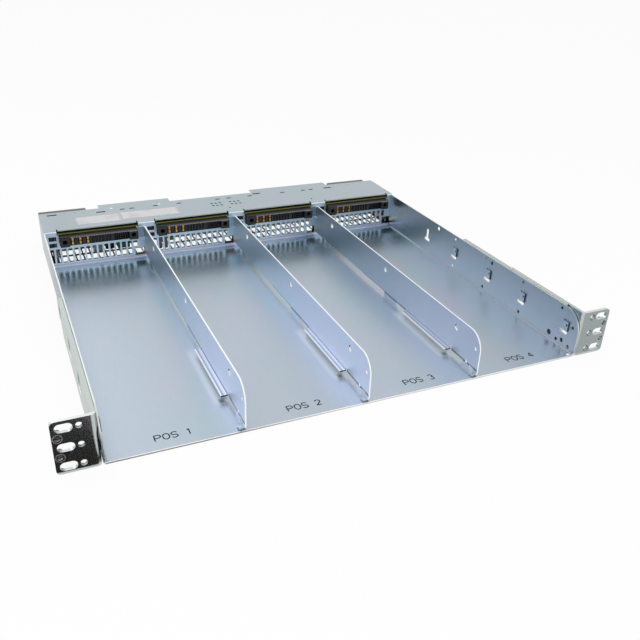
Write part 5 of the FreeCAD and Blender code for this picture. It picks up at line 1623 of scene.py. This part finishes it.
@dataclass
class Studio:
    """A pale floor under even white light, with cards that only reflections see.

    The left card darkens what the left ear reflects, and the right one does so less for the right
    ear. The upright one brightens the far ends of the floor and the dividers. A flag is given as its
    span across, its span along and its shade, and the upright card as reflector takes it.
    """

    white: Colour = (1.0, 1.0, 1.0)
    light: float = 0.72
    floor_grey: Colour = (0.86, 0.86, 0.86)
    floor_side: float = 6000.0
    floor_up: float = -0.2
    floor_shine: float = 0.9
    covered_half: float = 207.0
    covered_along: Span = (FRONT_EDGE + 1.0, BULKHEAD_FACE - 8.0)
    flag_up: float = 1.0
    left_flag: tuple[Span, Span, Colour] = ((-330, -203), (-330, -222), (0.03, 0.028, 0.026))
    right_flag: tuple[Span, Span, Colour] = ((203, 460), (-420, -222), (0.60, 0.62, 0.62))
    reflector_distance: float = 3000.0
    rear_reflector: tuple[float, float, Span, Colour] = (-32.0, 1700.0, (1250.0, 5200.0), (1.9, 1.95, 2.05))
    lamp_spot: Triple = (-500.0, -700.0, 1700.0)
    lamp_aim: Triple = (0.0, 0.0, 0.0)
    lamp_size: Span = (1400.0, 1000.0)
    lamp_power: float = 14.0

    def sheet(
        self, name: str, corners: Sequence[Sequence[float]], material: bpy.types.Material
    ) -> bpy.types.Object:
        """A flat sheet of the studio.

        Args:
            name: The sheet's name.
            corners: Its four corners in millimetres, in order round it.
            material: Its material.

        Returns:
            The new object.
        """
        mesh = bpy.data.meshes.new(name)
        mesh.from_pydata((np.asarray(corners, float) * MM).tolist(), [], [[0, 1, 2, 3]])
        mesh.materials.append(material)
        sheet = bpy.data.objects.new(name, mesh)
        bpy.context.scene.collection.objects.link(sheet)
        return sheet

    def level(self, across: Span, along: Span, up: float) -> list[Triple]:
        """Corners of a level sheet, in order round it."""
        return [(across[i], along[j], up) for i, j in ((0, 0), (1, 0), (1, 1), (0, 1))]

    def build_world(self) -> None:
        """A white surround, plain in strength where it lights dull surfaces."""
        world = bpy.data.worlds.new("studio_world")
        wiring = Wiring(world)
        plain, bright = (
            wiring.node("ShaderNodeBackground", {}, {"Color": self.white, "Strength": strength})
            for strength in (self.light, 1.0)
        )
        values = {0: wiring.backdrop_share(), 1: plain.outputs[0], 2: bright.outputs[0]}
        mix = wiring.node("ShaderNodeMixShader", {}, values)
        wiring.node("ShaderNodeOutputWorld", {}, {"Surface": mix.outputs[0]})
        bpy.context.scene.world = world

    def build_floor(self) -> None:
        """A wide pale floor that keeps a faint shadow of the shelf, and doesn't shine under the tray."""
        recipe = Recipe("studio_floor")
        recipe.finish(Base_Color=self.floor_grey, Roughness=0.7)
        glow = recipe.node("ShaderNodeEmission", {}, {"Color": self.white, "Strength": 1.0})
        across, along, _ = recipe.axes()
        covered = abs(across).under(self.covered_half) * along.between(*self.covered_along)
        share = recipe.backdrop_share() * self.floor_shine * (1 - covered)
        values = {0: share, 1: recipe.shader.outputs[0], 2: glow.outputs[0]}
        mix = recipe.node("ShaderNodeMixShader", {}, values)
        recipe.feed(recipe.output.inputs[0], mix.outputs[0])
        side = (-self.floor_side, self.floor_side)
        floor = self.sheet("studio_floor", self.level(side, side, self.floor_up), recipe.material)

    def card(self, name: str, corners: Sequence[Sequence[float]], shade: Colour) -> None:
        """A card that only reflections see.

        Args:
            name: The card's name.
            corners: Its four corners in millimetres, in order round it.
            shade: Its colour, over 1 where it outshines the white surround.
        """
        recipe = Recipe(name)
        glow = recipe.node("ShaderNodeEmission", {}, {"Color": shade, "Strength": 1.0})
        recipe.feed(recipe.output.inputs[0], glow.outputs[0])
        panel = self.sheet(name, corners, recipe.material)
        for rays in ("camera", "diffuse", "shadow", "transmission"):
            setattr(panel, f"visible_{rays}", False)

    def reflector(self, name: str, azimuth: float, half: float, heights: Span, shade: Colour) -> None:
        """An upright card far behind the shelf that only reflections see.

        Args:
            name: The card's name.
            azimuth: Degrees to the right of straight behind.
            half: Half of its width in millimetres.
            heights: Its lower and upper edge in millimetres.
            shade: Its colour, over 1 where it outshines the white surround.
        """
        turn = math.radians(azimuth)
        middle = np.array((math.sin(turn), math.cos(turn))) * self.reflector_distance
        side = np.array((math.cos(turn), -math.sin(turn))) * half
        ends = (middle - side, middle + side)
        corners = [(*ends[end], heights[up]) for end, up in ((0, 0), (1, 0), (1, 1), (0, 1))]
        self.card(name, corners, shade)

    def build_lamp(self) -> None:
        """A soft rectangular lamp over the front left, with its power in watts."""
        data = bpy.data.lights.new("overhead_soft_box", "AREA")
        data.shape = "RECTANGLE"
        data.size, data.size_y = (side * MM for side in self.lamp_size)
        data.energy = self.lamp_power
        lamp = bpy.data.objects.new("overhead_soft_box", data)
        spot, aim = Vector(self.lamp_spot), Vector(self.lamp_aim)
        lamp.location = spot * MM
        lamp.rotation_euler = (aim - spot).to_track_quat("-Z", "Y").to_euler()
        lamp.visible_glossy = False
        bpy.context.scene.collection.objects.link(lamp)

    def build(self) -> None:
        """Builds the whole studio."""
        bpy.context.scene.view_settings.view_transform = "Standard"
        self.build_world()
        self.build_floor()
        for name, (across, along, shade) in (("left_flag", self.left_flag), ("right_flag", self.right_flag)):
            self.card(name, self.level(across, along, self.flag_up), shade)
        self.reflector("rear_left_reflector", *self.rear_reflector)
        self.build_lamp()


def main() -> None:
    """Dresses the nodes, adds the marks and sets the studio."""
    logging.basicConfig(level=logging.INFO, format="%(name)s: %(message)s")
    PlainNodes().dress()
    BayMarks().build(Ink().make())
    Labels().build()
    PressMarks().build(
        ZincSheet(name="zinc_marks").make(),
        # Near-black finish of the dishes of painted shade in the walls' holes.
        Moulded("hole_shade_dark", (0.006, 0.006, 0.007), (0.012, 0.012, 0.012)).make(),
    )
    BoardHangers().build()
    CoverMarks().build(
        Ink("scribed_line", (0.12, 0.13, 0.14), (0.22, 0.23, 0.24)).make(),
        # Pale steel on the pips, so they shine as painted glints.
        PlainMetal("pip_glint_steel", (0.85, 0.87, 0.88), (0.70, 0.72, 0.73), 0.3, (1.0, 1.0, 1.0)).make(),
    )
    EarThreads().build(
        PlainMetal("insert_steel", (0.50, 0.52, 0.53), (0.22, 0.23, 0.24), 0.16, (1.0, 1.0, 1.0)).make(),
        PlainMetal("insert_floor", (0.26, 0.26, 0.265), (0.10, 0.10, 0.10), 0.4, (1.0, 1.0, 1.0)).make(),
    )
    Camera().build()
    Studio().build()


if __name__ == "__main__":
    main()
